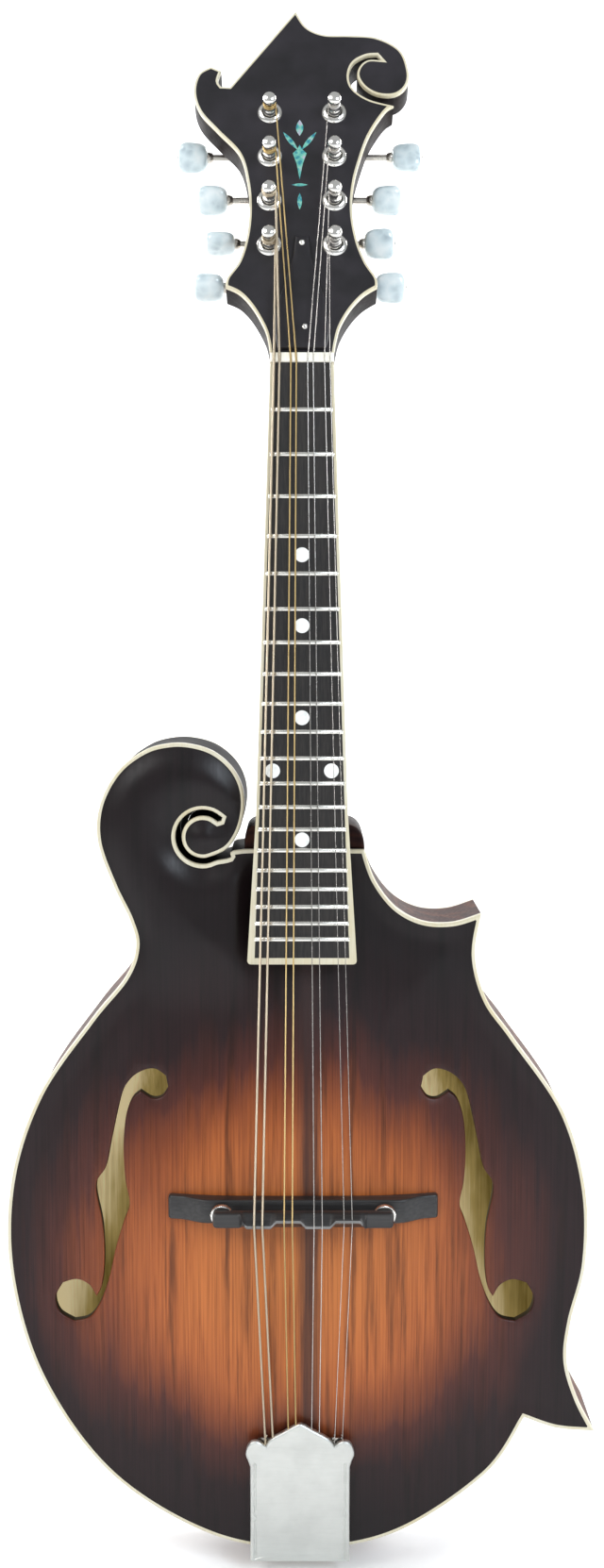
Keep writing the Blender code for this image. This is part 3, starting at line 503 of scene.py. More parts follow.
def add_mesh(name, mesh, looks, body="root", replaced=(), slot=None, sharp=38.0):
    """A piece of the object that rides on a body; the slot argument is not used."""
    mesh.name = name
    for look in looks:
        mesh.materials.append(look)
    mesh.shade_smooth()
    mesh.set_sharp_from_angle(angle=math.radians(sharp))
    made = bpy.data.objects.new(name, mesh)
    bpy.context.scene.collection.objects.link(made)
    if body:
        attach(made, body)
    if replaced:
        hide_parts(*replaced)
    return made


def piece(name, shape, place, *details, **more):
    """A piece from a shape in a frame's millimetres; the rest is as for add_mesh."""
    return add_mesh(name, to_mesh(shape, place), *details, **more)


def joined(base, others, operation):
    """A mesh united with, or cut by, other meshes."""
    solids = [bpy.data.objects.new("solid", mesh) for mesh in [base, *others]]
    for solid in solids:
        bpy.context.scene.collection.objects.link(solid)
    for other in solids[1:]:
        step = solids[0].modifiers.new("Step", "BOOLEAN")
        step.operation = operation
        step.object = other
    graph = bpy.context.evaluated_depsgraph_get()
    mesh = bpy.data.meshes.new_from_object(solids[0].evaluated_get(graph))
    for solid in solids:
        bpy.data.objects.remove(solid, do_unlink=True)
    return mesh


# Materials

class Value:
    """A number or colour that varies over a surface; arithmetic on it makes nodes."""

    def __init__(self, look, socket):
        self.look = look
        self.socket = socket

    def step(self, operation, second=0.0):
        """One step of arithmetic on this and a second value."""
        return self.look.arithmetic(operation, self, second)

    def __add__(self, other):
        return self.step("ADD", other)

    def __sub__(self, other):
        return self.step("SUBTRACT", other)

    def __rsub__(self, other):
        return self.look.arithmetic("SUBTRACT", other, self)

    def __mul__(self, other):
        return self.step("MULTIPLY", other)

    def ranged(self, low, high, out_low, out_high):
        """The value carried from one range to another, clamped."""
        made = self.look.node("ShaderNodeMapRange", self, low, high, out_low, out_high)
        return Value(self.look, made.outputs[0])

    def ramp(self, stops):
        """A colour that depends on the value, from positions and colours."""
        made = self.look.node("ShaderNodeValToRGB", self)
        elements = made.color_ramp.elements
        for _ in stops[2:]:
            elements.new(0.5)
        for element, (position, _) in zip(elements, stops):
            element.position = position
        for element, (_, colour) in zip(elements, stops):
            element.color = (*colour, 1.0)
        return Value(self.look, made.outputs[0])


class Look:
    """A Principled material with a few helpers for its nodes."""

    def __init__(self, name, colour, roughness, metallic=0.0, **fixed):
        self.material = bpy.data.materials.new(name)
        self.material.use_nodes = True
        self.tree = self.material.node_tree
        self.shader = self.tree.nodes["Principled BSDF"]
        sockets = {"Base Color": (*colour, 1.0), "Roughness": roughness, "Metallic": metallic, **fixed}
        for socket, value in sockets.items():
            self.paint(socket.replace("_", " "), value)
        self.place = Value(self, self.node("ShaderNodeTexCoord").outputs["Object"])

    def feed(self, socket, value):
        """Link a value to a socket, or set a constant."""
        if isinstance(value, Value):
            self.tree.links.new(value.socket, socket)
        else:
            socket.default_value = value

    def paint(self, socket, value):
        """Feed one of the shader's own sockets."""
        self.feed(self.shader.inputs[socket], value)

    def node(self, kind, *listed, **named):
        """A node, with values for its first inputs in order and for others by name."""
        made = self.tree.nodes.new(kind)
        for socket, value in zip(made.inputs, listed):
            self.feed(socket, value)
        for name, value in named.items():
            self.feed(made.inputs[name], value)
        return made

    def arithmetic(self, operation, first, second):
        """One step of arithmetic."""
        made = self.node("ShaderNodeMath", first, second)
        made.operation = operation
        return Value(self, made.outputs[0])

    def axes(self):
        """The piece's own x, y and z, in metres."""
        return [Value(self, output) for output in self.node("ShaderNodeSeparateXYZ", self.place).outputs]

    def noise(self, waves, detail=4.0, roughness=0.55):
        """A noise value around 0.5, with so many waves per metre along each of the piece's axes."""
        mapping = self.node("ShaderNodeMapping", Vector=self.place, Scale=waves)
        made = self.node("ShaderNodeTexNoise", Vector=Value(self, mapping.outputs[0]), Scale=1.0,
                         Detail=detail, Roughness=roughness)
        return Value(self, made.outputs["Fac"])

    def mixed(self, share, first, second, blend="MIX"):
        """Two colours mixed."""
        made = self.node("ShaderNodeMix")
        made.data_type = "RGBA"
        made.blend_type = blend
        for number, value in ((0, share), (6, first), (7, second)):
            self.feed(made.inputs[number], value)
        return Value(self, made.outputs[2])

    def finished(self, colour, wear, dull, bright, relief, strength, depth=0.0001):
        """The material, with its colour, a roughness that follows the wear, and fine relief."""
        self.paint("Base Color", colour)
        self.paint("Roughness", wear.ranged(0.3, 0.7, dull, bright))
        bump = self.node("ShaderNodeBump", Height=relief, Strength=strength, Distance=depth)
        self.paint("Normal", Value(self, bump.outputs[0]))
        return self.material


def sunburst_look():
    """Spruce under a hand-rubbed burst: amber in the middle, burgundy and then black at the edges."""
    look = Look("sunburst_lacquer", (0.4, 0.14, 0.04), 0.38, Specular_IOR_Level=0.30)
    across, _, along = look.axes()
    sideways = ((across + BURST_SHIFT) * (1 / BURST_HALF_WIDTH)).step("ABSOLUTE")
    above = (along - BURST_MIDDLE) * (1 / BURST_ABOVE)
    below = (BURST_MIDDLE - along) * (1 / BURST_BELOW)
    lengthways = above.step("MAXIMUM", below)
    reach = (sideways.step("POWER", 2.0) + lengthways.step("POWER", 2.0)).step("SQRT")
    streaks = look.noise((210.0, 1.0, 9.0), 5.0, 0.62)
    clouds = look.noise((26.0, 1.0, 9.0), 3.0)
    reach = reach + (streaks - 0.5) * 0.45
    reach = reach + (clouds - 0.5) * 0.4
    burst = (reach * 0.6).ramp([(0.0, (0.47, 0.155, 0.038)), (0.27, (0.44, 0.130, 0.031)),
                                (0.39, (0.38, 0.105, 0.026)), (0.49, (0.21, 0.052, 0.016)),
                                (0.58, (0.070, 0.0175, 0.012)), (0.70, (0.016, 0.0055, 0.0065)),
                                (0.92, (0.007, 0.0035, 0.0045))])
    grain = look.noise((1500.0, 1.0, 16.0), 2.0, 0.5)
    tint = grain.ramp([(0.30, (0.62, 0.55, 0.50)), (0.58, (1.06, 1.04, 1.0))])
    colour = look.mixed(0.85, burst, tint, "MULTIPLY")
    dark = streaks.ramp([(0.34, (0.14, 0.10, 0.09)), (0.47, (0.85, 0.80, 0.78)), (0.52, (1.0, 1.0, 1.0))])
    colour = look.mixed(0.75, colour, dark, "MULTIPLY")
    # A painted shade streak down the middle of the top, between the middle string pairs.
    shade_streak = (across - SHADE_STREAK_X).step("ABSOLUTE") + (streaks - 0.5) * 0.004
    centre = shade_streak.ranged(0.0014, 0.0062, 0.80, 0.0)
    colour = look.mixed(centre, colour, (0.030, 0.014, 0.013, 1.0))
    relief = grain + look.noise((90.0,) * 3)
    return look.finished(colour, grain, 0.40, 0.31, relief, 0.05, 0.0002)


def wood_look(name, dark, light, roughness, grain=(900.0, 900.0, 18.0), bump=0.12):
    """Straight-grained wood."""
    look = Look(name, light, roughness)
    lines = look.noise(grain, 3.0, 0.6)
    clouds = look.noise((30.0, 30.0, 8.0), 3.0)
    colour = (lines * 0.7 + clouds * 0.3).ramp([(0.36, dark), (0.62, light)])
    return look.finished(colour, lines, roughness + 0.07, roughness - 0.05, lines, bump, 0.0002)


def flamed_look():
    """Dark stained maple with bright bands across the grain, nearly black at the head and the joint."""
    look = Look("flamed_maple", (0.06, 0.02, 0.015), 0.5, Specular_IOR_Level=0.06)
    wander = look.noise((30.0, 30.0, 60.0), 3.0)
    height = look.axes()[2]
    flame = (height * 1150.0 + wander * 30.0).step("SINE") * 0.5 + 0.5
    fibre = look.noise((700.0, 700.0, 25.0), 3.0, 0.6)
    patches = look.noise((14.0, 14.0, 8.0), 3.0)
    blend = flame * 0.16 + fibre * 0.34 + patches * 0.55
    colour = blend.ramp([(0.28, (0.016, 0.0065, 0.006)), (0.52, (0.055, 0.016, 0.010)),
                         (0.80, (0.150, 0.045, 0.018))])
    by_head = height.ranged(-0.006, 0.004, 0.0, 0.92)
    near_joint = (height + JOINT_DROP).step("ABSOLUTE").ranged(0.010, 0.034, 0.75, 0.0)
    colour = look.mixed(by_head.step("MAXIMUM", near_joint), colour, (0.0045, 0.0035, 0.004, 1.0))
    return look.finished(colour, fibre, 0.56, 0.44, fibre, 0.05)


def scaled(colour, *shares):
    """A colour with its channels scaled by one share, or by one each."""
    return tuple(value * share for value, share in zip(colour, shares * 3))


def lacquer_look(name, colour, roughness, specular=0.5):
    """Dark lacquer with faint clouding and orange peel."""
    look = Look(name, colour, roughness, Specular_IOR_Level=specular)
    clouds = look.noise((45.0,) * 3)
    tint = clouds.ramp([(0.35, scaled(colour, 0.55)), (0.65, scaled(colour, 1.5))])
    peel = look.noise((420.0,) * 3, 2.0)
    return look.finished(tint, clouds, roughness - 0.05, roughness + 0.06, peel, 0.04)


def ivory_look(name, colour):
    """Celluloid ivory: warm, with fine pale lines and a little ageing."""
    look = Look(name, colour, 0.33, Coat_Weight=0.3, Coat_Roughness=0.2)
    lines = look.noise((1400.0, 300.0, 60.0), 2.0)
    age = look.noise((40.0, 40.0, 25.0), 3.0)
    tint = (lines * 0.4 + age * 0.6).ramp([(0.34, scaled(colour, 0.90, 0.84, 0.70)), (0.60, colour)])
    return look.finished(tint, age, 0.28, 0.40, lines, 0.03)


def metal_look(name, colour, roughness, brushed=(160.0, 160.0, 160.0), tarnish=0.10):
    """Plated or bare metal with fine marks and a light uneven tarnish."""
    look = Look(name, colour, roughness, 1.0)
    marks = look.noise(brushed, 3.0, 0.6)
    film = look.noise((70.0,) * 3)
    tint = film.ramp([(0.30, scaled(colour, 1.0 - 2.5 * tarnish)), (0.58, colour)])
    return look.finished(tint, marks, roughness * 0.75, roughness * 1.35, marks, 0.04)


def pearl_look(name, stops, scale, roughness=0.16):
    """Shell or pearloid: clouded cells that shift between a few tints."""
    look = Look(name, stops[-1], roughness, Coat_Weight=0.8, Coat_Roughness=0.05)
    warp = look.noise((scale,) * 3, 3.0, 0.6)
    moved = look.node("ShaderNodeVectorMath", look.place, (scale * 1.6,) * 3, warp)
    moved.operation = "MULTIPLY_ADD"
    voronoi = look.node("ShaderNodeTexVoronoi", Vector=Value(look, moved.outputs[0]), Scale=1.0)
    cells = Value(look, voronoi.outputs["Distance"])
    positions = [0.22 + 0.5 * i / (len(stops) - 1) for i in range(len(stops))]
    colour = (cells * 0.5 + warp * 0.5).ramp(list(zip(positions, stops)))
    return look.finished(colour, warp, roughness - 0.05, roughness + 0.10, cells, 0.05, 0.0002)


def wound_look(name, colour, turns):
    """A wound string: rounded wraps of wire across its length, with painted shade in the grooves between
    them.
    """
    look = Look(name, colour, 0.32, 1.0)
    wraps = (look.axes()[2] * (2 * math.pi * turns)).step("SINE")
    worn = look.noise((30.0,) * 3, 3.0)
    # The grooves between wraps are painted at half brightness: painted shade.
    crown = wraps.ranged(-1.0, 1.0, 0.0, 1.0)
    tint = look.mixed(crown, (*scaled(colour, 0.5), 1.0), (*colour, 1.0))
    return look.finished(tint, worn, 0.26, 0.42, wraps, 0.4)


def glowing_inside_look():
    """Bare wood inside the sound box, with a weak painted glow for the light that reaches it through the
    f-holes.

    Painted light makes it lightest at the left of each f-hole, whose leaning centre line is measured from its
    middle's height.
    """
    look = Look("inside_wood_painted_glow", (0.70, 0.60, 0.32), 0.6)
    lines = look.noise((700.0, 700.0, 16.0), 3.0, 0.6)
    clouds = look.noise((60.0, 20.0, 22.0), 3.0)
    side, _, height = look.axes()
    slant = (height + F_DROP) * F_LEAN
    on_bass = side.step("LESS_THAN", 0.0)
    bass = side - slant + F_BASS_X
    treble = side + slant - F_TREBLE_X
    across = bass * on_bass + treble * (1.0 - on_bass)
    painted_lit = across.ranged(-0.009, 0.011, 0.64, 0.34)
    colour = (lines * 0.15 + clouds * 0.25 + painted_lit * 0.60).ramp(
        [(0.38, (0.13, 0.095, 0.020)), (0.48, (0.36, 0.28, 0.10)), (0.60, (0.80, 0.70, 0.42))])
    # Emission: the painted glow, not a lamp.
    look.paint("Emission Color", colour)
    look.paint("Emission Strength", 0.5)
    return look.finished(colour, lines, 0.66, 0.55, lines, 0.1, 0.0002)


def stage_look():
    """The white floor and backdrop."""
    look = Look("studio_white", (0.92, 0.92, 0.92), 0.8)
    tone = look.noise((3.0,) * 3, 2.0)
    look.paint("Base Color", tone.ramp([(0.0, (0.91, 0.91, 0.91)), (1.0, (0.93, 0.93, 0.93))]))
    return look.material


SUNBURST = sunburst_look()
MAPLE = flamed_look()
RAW_SPRUCE = wood_look("bare_spruce", (0.42, 0.29, 0.13), (0.72, 0.57, 0.33), 0.62)
BLOCK_WOOD = wood_look("block_mahogany", (0.16, 0.07, 0.035), (0.34, 0.17, 0.09), 0.6)
INSIDE_GLOW = glowing_inside_look()
EBONY = wood_look("ebony", (0.006, 0.005, 0.005), (0.026, 0.022, 0.020), 0.36, (1100.0, 1100.0, 14.0), 0.10)
BRIDGE_EBONY = wood_look("bridge_ebony", (0.010, 0.009, 0.009), (0.030, 0.028, 0.028), 0.36,
                         (20.0, 900.0, 900.0), 0.10)
# Paler ebony for a painted highlight along the saddle's crest.
CREST_HIGHLIGHT_EBONY = wood_look("painted_crest_highlight", (0.09, 0.088, 0.085), (0.22, 0.215, 0.21), 0.40,
                       (20.0, 900.0, 900.0), 0.10)
# Black for painted shade: the plate's walls round the f-holes and the sheet in the scroll's slot.
PAINTED_SHADE_BLACK = lacquer_look("painted_shade_black", (0.008, 0.006, 0.007), 0.42)
SLOT_SHADE_BLACK = lacquer_look("slot_shade_black", (0.008, 0.006, 0.007), 0.55, 0.03)
HEAD_LACQUER = lacquer_look("headstock_lacquer", (0.009, 0.007, 0.010), 0.38)
IVORY = ivory_look("ivory_celluloid", (0.66, 0.615, 0.48))
BONE = ivory_look("bone_nut", (0.88, 0.85, 0.76))
NICKEL = metal_look("bright_nickel", (0.86, 0.84, 0.80), 0.16)
SATIN = metal_look("satin_nickel", (0.64, 0.65, 0.62), 0.40, (90.0, 90.0, 900.0), 0.04)
AGED_NICKEL = metal_look("aged_nickel", (0.62, 0.58, 0.52), 0.28, tarnish=0.16)
FRET_METAL = metal_look("fret_nickel", (0.88, 0.86, 0.80), 0.22)
BRASS = metal_look("brass", (0.78, 0.66, 0.44), 0.26)
STEEL = metal_look("rod_steel", (0.50, 0.50, 0.51), 0.36)
PEARL = pearl_look("pearloid", [(0.40, 0.48, 0.52), (0.60, 0.69, 0.71), (0.74, 0.79, 0.79)], 130.0)
DOT_PEARL = pearl_look("dot_pearl", [(0.78, 0.80, 0.78), (0.92, 0.92, 0.88), (0.97, 0.97, 0.94)], 300.0)
ABALONE = pearl_look("abalone", [(0.02, 0.06, 0.20), (0.03, 0.26, 0.30), (0.16, 0.50, 0.38),
                                 (0.42, 0.40, 0.50)], 260.0)
THICK_WOUND = wound_look("wound_bronze", (0.74, 0.62, 0.46), 2600.0)
THIN_WOUND = wound_look("wound_gold", (0.80, 0.58, 0.26), 3400.0)
PLAIN_WIRE = metal_look("plain_steel_wire", (0.58, 0.55, 0.52), 0.24)


# Body

OUTLINE = body_outline()
F_HOLES = [smooth_loop(F_OUTLINE, 1.2, 46.0)]
F_HOLES.append(mirrored(F_HOLES[0], F_MIRROR))


def arch(points, rise):
    """Height of a carved plate above its edge plane: a long swell with a shallow recurve at the edge."""
    across, along = points[:, 0], points[:, 1]
    away = (across / DOME_REACH[0]) ** 2 + ((along - DOME_CENTRE_Y) / DOME_REACH[1]) ** 2
    dome = np.maximum(0.0, 1.0 - away)
    depth = edge_distance(points, [OUTLINE])
    recurve = RECURVE_DEPTH * np.exp(-((depth - RECURVE_PLACE) / RECURVE_WIDTH) ** 2)
    return smoothstep(depth, ARCH_START, ARCH_END) * (rise - DOME + DOME * dome) - recurve


def scroll_ridge(points):
    """The rounded ridge carved along the scroll, which dies away into the plate."""
    reach = np.hypot(points[:, 0] - SLOT_CENTRE[0], points[:, 1] - SLOT_CENTRE[1])
    depth = edge_distance(points, [OUTLINE])
    beside_neck = smoothstep(-points[:, 0], 20.0, 30.0)
    return RIDGE * smoothstep(depth, 0.5, 10.0) * (1.0 - smoothstep(reach, *RIDGE_FADE)) * beside_neck


def top_height(points):
    """Front of the soundboard."""
    return EDGE_FRONT + arch(points, TOP_ARCH) + scroll_ridge(points)


def build_plates():
    """Soundboard with its f-holes, and the back."""
    edge = inset(OUTLINE, BINDING)
    rim = (0.25, 0.7)

    def front(points):
        return top_height(points) - rounded(edge_distance(points, F_HOLES), 0.7)

    def behind(points):
        return top_height(points) - PLATE

    # The plate's walls, round the f-holes too, are painted black as shade.
    board = plate([edge, *F_HOLES], front, behind, 3.2, rim, (0, 1, 2))
    piece("top_plate", board, BODY, [SUNBURST, RAW_SPRUCE, PAINTED_SHADE_BLACK], replaced=["soundboard"],
          sharp=50.0)

    def inner_face(points):
        return EDGE_BACK - arch(points, BACK_ARCH) + PLATE

    def outer_face(points):
        return EDGE_BACK - arch(points, BACK_ARCH) - 0.5 * scroll_ridge(points)

    back = plate([edge], inner_face, outer_face, 3.6, (), (1, 0, 0))
    piece("carved_back", back, BODY, [MAPLE, INSIDE_GLOW], replaced=["back_plate"], sharp=50.0)


def build_rim():
    """The sides and the ivory bindings along both edges, with painted shade in black across the scroll's slot
    and on its sides.
    """
    inner = inset(OUTLINE, BINDING)
    around = [OUTLINE, inner]
    rings = (0.2, 0.5, 0.9)
    front = eased(EDGE_FRONT + 0.05, [OUTLINE], 0.8)
    trim = plate(around, front, level(EDGE_FRONT - BINDING_DEPTH), 0.0, rings)
    piece("front_binding", trim, BODY, [IVORY], replaced=["top_binding"])
    rear = eased(EDGE_BACK - 0.05, [OUTLINE], 0.8, -1.0)
    trim = plate(around, level(EDGE_BACK + BINDING_DEPTH), rear, 0.0, rings)
    piece("rear_binding", trim, BODY, [IVORY], replaced=["back_binding"])
    # A black sheet across the scroll's slot, which is open through: painted shade.
    slot = arc(SLOT_CENTRE, SLOT_RADIUS + SLOT_HALF - 0.1, -70.0, -360.0 + SLOT_TIP, 24)
    slot += arc(SLOT_CENTRE, SLOT_RADIUS - SLOT_HALF + 0.1, SLOT_TIP, 290.0, 24)
    shade_sheet = plate([slot], level(EDGE_BACK + 7.0), level(EDGE_BACK + 5.5))
    piece("slot_shade_sheet", shade_sheet, BODY, [PAINTED_SHADE_BLACK])
    side = [inset(OUTLINE, 0.06), inset(OUTLINE, BINDING - 0.02)]
    wall = plate(side, level(EDGE_FRONT - BINDING_DEPTH - 0.02), level(EDGE_BACK + BINDING_DEPTH + 0.02))
    # Faces round the scroll take the matte black, as painted shade.
    for number, face in enumerate(wall.faces):
        x, y, _ = wall.points[face[0]]
        wall.looks[number] = int(x < SCROLL_SIDE_X and y > SCROLL_SIDE_Y)
    piece("side_ribs", wall, BODY, [MAPLE, SLOT_SHADE_BLACK], replaced=["ribs"])


# Neck and headstock

HEAD_LOOP = smooth_loop(HEAD_OUTLINE, 1.2, 50.0)
POST_PLACES = [(side * POST_X, y) for side in (-1, 1) for y in POST_ROWS]


def neck_ring(y, half, top, bottom):
    """A D-shaped section of the neck."""
    middle = top - 1.6
    ring = [(half, y, top), (half, y, middle)]
    for step in range(1, 24):
        angle = math.pi * step / 24
        ring.append((half * math.cos(angle), y, middle + (bottom - middle) * math.sin(angle) ** 0.92))
    return ring + [(-half, y, middle), (-half, y, top)]


def build_neck():
    """The neck with its heel, tenon and headstock, carved as one."""
    volute = [(12.0, 13.2, -8.8, -18.6), (4.8, 13.2, UNDER_BOARD - 0.8, -20.4)]
    shaft = [(4.3, 13.2, -20.5), (-60.0, 14.9, -22.4), (-120.0, 16.8, -24.0), (-158.0, 18.0, -25.4),
             (-174.0, 18.6, -29.0), (-186.0, 18.8, -37.5), (-194.0, 18.6, -47.0), (-200.0, 18.2, -55.0),
             (-212.0, 18.0, -57.5)]
    stations = [(y, half, UNDER_BOARD, bottom) for y, half, bottom in spline(shaft, 4.0) + shaft[-1:]]
    neck = to_mesh(loft([neck_ring(*station) for station in volute + stations]), NECK)
    past_joint = to_mesh(box((-40.0, -260.0, -80.0), (40.0, JOINT_Y, 60.0)), BODY)
    neck = joined(neck, [past_joint], "DIFFERENCE")

    holes = [ring_loop(place, POST_HOLE) for place in POST_PLACES]
    back_edge = eased(-HEAD_THICK, [HEAD_LOOP], 1.6, -1.0)
    head = to_mesh(plate([HEAD_LOOP, *holes], level(-OVERLAY), back_edge, 6.0, (0.3, 0.8, 1.6)), HEAD)
    riser = to_mesh(box((-16.0, -244.0, -9.5), (16.0, -198.0, UNDER_BOARD)), NECK)
    tenon = to_mesh(box((-10.5, -231.0, -18.0), (10.5, -198.0, 4.0)), BODY)
    heel_loop = smooth_loop(HEEL, 1.0, 60.0)
    front = eased(HEEL_DEPTH[1], [heel_loop], 1.2)
    behind = eased(HEEL_DEPTH[0], [heel_loop], 2.5, -1.0)
    heel = to_mesh(plate([heel_loop], front, behind, 6.0, (0.3, 0.8, 1.4, 2.5)), BODY)
    neck = joined(neck, [head, heel, riser, tenon], "UNION")
    groove = to_mesh(box((-3.2, -190.0, -13.4), (3.2, 6.0, 0.0)), NECK)
    pocket = to_mesh(box((-4.8, 5.0, -14.6), (4.8, 22.0, 8.0)), NECK)
    neck = joined(neck, [groove, pocket], "DIFFERENCE")
    add_mesh("neck_and_head", neck, [MAPLE], replaced=["neck"])


def box(low, high):
    """A box between two corners, for cutting and joining."""
    bottom = [(low[0], low[1]), (high[0], low[1]), (high[0], high[1]), (low[0], high[1])]
    return loft([[(x, y, z) for x, y in bottom] for z in (low[2], high[2])])


def build_headstock():
    """Black face, its binding, the bell cover with two screws, and a plain pearl inlay."""
    holes = [ring_loop(place, POST_HOLE - 0.1) for place in POST_PLACES]
    inner = [point for point in inset(HEAD_LOOP, HEAD_TRIM) if point[1] > 3.2]
    face = plate([inner, *holes], level(0.0), level(-OVERLAY), 8.0)
    piece("head_face", face, HEAD, [HEAD_LACQUER], replaced=["headstock_overlay"])
    rim = [(x, max(y, 3.2)) for x, y in HEAD_LOOP]
    rim_inner = [(x, max(y, 3.2)) for x, y in inset(HEAD_LOOP, HEAD_TRIM)]
    trim = plate([rim + rim_inner[::-1]], eased(0.05, [HEAD_LOOP], 0.5), level(-OVERLAY), 0.0, (0.2, 0.5))
    piece("head_binding", trim, HEAD, [IVORY], replaced=["headstock_binding"])

    bell = smooth_loop(TRUSS_BELL, 1.0, 60.0)
    cover = plate([bell], eased(1.9, [bell], 0.9), level(0.05), 3.0, (0.2, 0.5, 0.9))
    piece("bell_cover", cover, HEAD, [HEAD_LACQUER], replaced=["truss_rod_cover"])
    for name, x, y in (("top", 0.0, 53.6), ("low", 1.2, 14.0)):
        piece(f"bell_screw_{name}", screw_head(1.35, 0.8).moved(at(x, y, 1.75, 25.0)), HEAD, [NICKEL])

    motifs = [(leaf(8.0, 1.6), -1.0, 110.5, 0.0), (leaf(11.0, 1.0), -5.0, 104.0, 36.0),
              (leaf(11.0, 1.0), 3.0, 104.0, -36.0), (kite(17.0, 3.0), -1.0, 94.5, 0.0),
              (leaf(7.0, 0.7), -1.0, 82.5, 90.0), (leaf(8.0, 1.0), -1.0, 74.5, 0.0)]
    for number, (loop, x, y, turn) in enumerate(motifs):
        shape = plate([loop], eased(0.07, [loop], 0.06), level(-0.1), 1.2, (0.2,))
        piece(f"inlay_{number + 1}", shape.moved(at(x, y, 0.0, turn)), HEAD, [ABALONE])


def leaf(length, half):
    """A pointed oval outline."""
    side = [(half * math.sin(math.pi * i / 12), length * (i / 12 - 0.5)) for i in range(12)]
    return side + [(-x, -y) for x, y in side]


def kite(length, half):
    """A kite outline with slightly hollow sides, narrow end down."""
    points = [(0.0, -0.55 * length), (0.45 * half, -0.1 * length), (half, 0.2 * length),
              (0.35 * half, 0.32 * length), (0.0, 0.45 * length)]
    return points + mirrored(points[1:-1])


def screw_head(radius, height):
    """A domed head with a slot across it."""
    loop = ring_loop((0.0, 0.0), radius, 24)
    slot = 0.22

    def dome(points):
        share = np.clip(np.hypot(points[:, 0], points[:, 1]) / radius, 0.0, 0.98)
        groove = np.where(np.abs(points[:, 1]) < slot * radius, 0.45 * height, 0.0)
        return height * np.sqrt(1.0 - share ** 2) - groove

    return plate([loop], dome, level(-0.3), slot * radius, (0.12 * radius,))


def board_half(s):
    """Half the fingerboard's width at a distance from the nut."""
    return BOARD_HALF_NUT + (BOARD_HALF_END - BOARD_HALF_NUT) * s / BOARD_END


def fret_distance(fret):
    """Distance of a fret from the nut."""
    return SCALE_LENGTH * (1.0 - 2.0 ** (-fret / 12.0))


def fret_wire(s):
    """A crowned fret with bevelled ends."""
    half = board_half(s) + 0.35
    stations = [(-half, 0.25), (-half + 0.35, 0.7), (-half + 0.8, 1.0)]
    stations += [(-x, lift) for x, lift in reversed(stations)]
    rings = []
    for x, lift in stations:
        crown = [(math.cos(a), math.sin(a)) for a in np.linspace(0.0, math.pi, 9)]
        ring = [(x, FRET_WIDTH / 2, -0.2)]
        ring += [(x, FRET_WIDTH / 2 * c, 0.1 + (FRET_HEIGHT * lift - 0.1) * h) for c, h in crown]
        rings.append(ring + [(x, -FRET_WIDTH / 2, -0.2)])
    return loft(rings).moved(at(y=-s))


def build_fingerboard():
    """Board, binding, frets, position dots and the slotted nut."""
    edge = [(-board_half(0.0), -0.1), (board_half(0.0), -0.1), (BOARD_HALF_END, -BOARD_END),
            (-BOARD_HALF_END, -BOARD_END)]
    board = plate([edge], level(0.0), level(-BOARD_THICK), 9.0)
    piece("board", board, NECK, [EBONY], replaced=["fingerboard"])
    inner = [(BOARD_HALF_END, -BOARD_END), (board_half(0.0), -0.1)]
    outline = BOARD_SIDE[:-1] + arc((21.4, -250.5), 1.5, 0.0, -90.0, 5)
    outer = outline + mirrored(outline)
    rim = plate([outer + mirrored(inner) + inner], eased(0.02, [outer], 0.35), level(-BOARD_THICK), 0.0,
                (0.15, 0.4))
    piece("board_binding", rim, NECK, [IVORY], replaced=["fingerboard_binding"])
    for fret in range(1, FRETS + 1):
        piece(f"fret_{fret}", fret_wire(fret_distance(fret)), NECK, [FRET_METAL])
    for fret, places in DOT_FRETS.items():
        middle = (fret_distance(fret) + fret_distance(fret - 1)) / 2
        for number, x in enumerate(places):
            loop = ring_loop((0.0, 0.0), DOT_RADIUS, 36)
            dot = plate([loop], eased(0.12, [loop], 0.1), level(-0.3), 1.5, (0.2,)).moved(at(x, -middle))
            piece(f"dot_{fret}_{number + 1}", dot, NECK, [DOT_PEARL])

    rings = []
    for x in np.arange(-NUT_HALF, NUT_HALF + 0.01, 0.2):
        nearest = min(abs(x - string_at_nut(i)[0]) / (0.5 * gauge + 0.15)
                      for i, gauge in enumerate(STRING_GAUGES))
        end = 0.5 * rounded(min(NUT_HALF - abs(x), 1.0), 1.0)
        drop = end + 0.35 * max(0.0, 1.0 - nearest ** 2)
        profile = [(0.0, -BOARD_THICK), (4.2, -BOARD_THICK), (4.2, -0.1 - drop), (3.6, 0.35 - drop),
                   (2.2, 0.85 - drop), (0.9, NUT_TOP - drop), (0.25, NUT_TOP - 0.1 - drop),
                   (0.0, NUT_TOP - 0.4 - drop)]
        rings.append([(x, y, z) for y, z in profile])
    piece("slotted_nut", loft(rings), NECK, [BONE], replaced=["nut"], sharp=50.0)


# Tuners

def toothed(radius, teeth, depth, tooth):
    """A round outline with teeth; tooth gives one tooth's profile, from 0 at its foot to 1 at its tip."""
    outline = []
    for i in range(teeth * len(tooth)):
        angle = 2 * math.pi * i / (teeth * len(tooth))
        reach = radius - depth * (1.0 - tooth[i % len(tooth)])
        outline.append((reach * math.cos(angle), reach * math.sin(angle)))
    return outline


def gear():
    """A small toothed wheel with a hollowed rim, about z."""
    outline = toothed(GEAR_RADIUS, GEAR_TEETH, GEAR_TOOTH, (0.0, 0.55, 1.0, 1.0, 0.55, 0.0))
    hole = ring_loop((0.0, 0.0), POST_RADIUS - 0.2)
    ease = eased(GEAR_FRONT, [outline], 0.4)
    return plate([outline, hole], ease, eased(GEAR_BACK, [outline], 0.4, -1.0), 0.0, (0.2, 0.4))


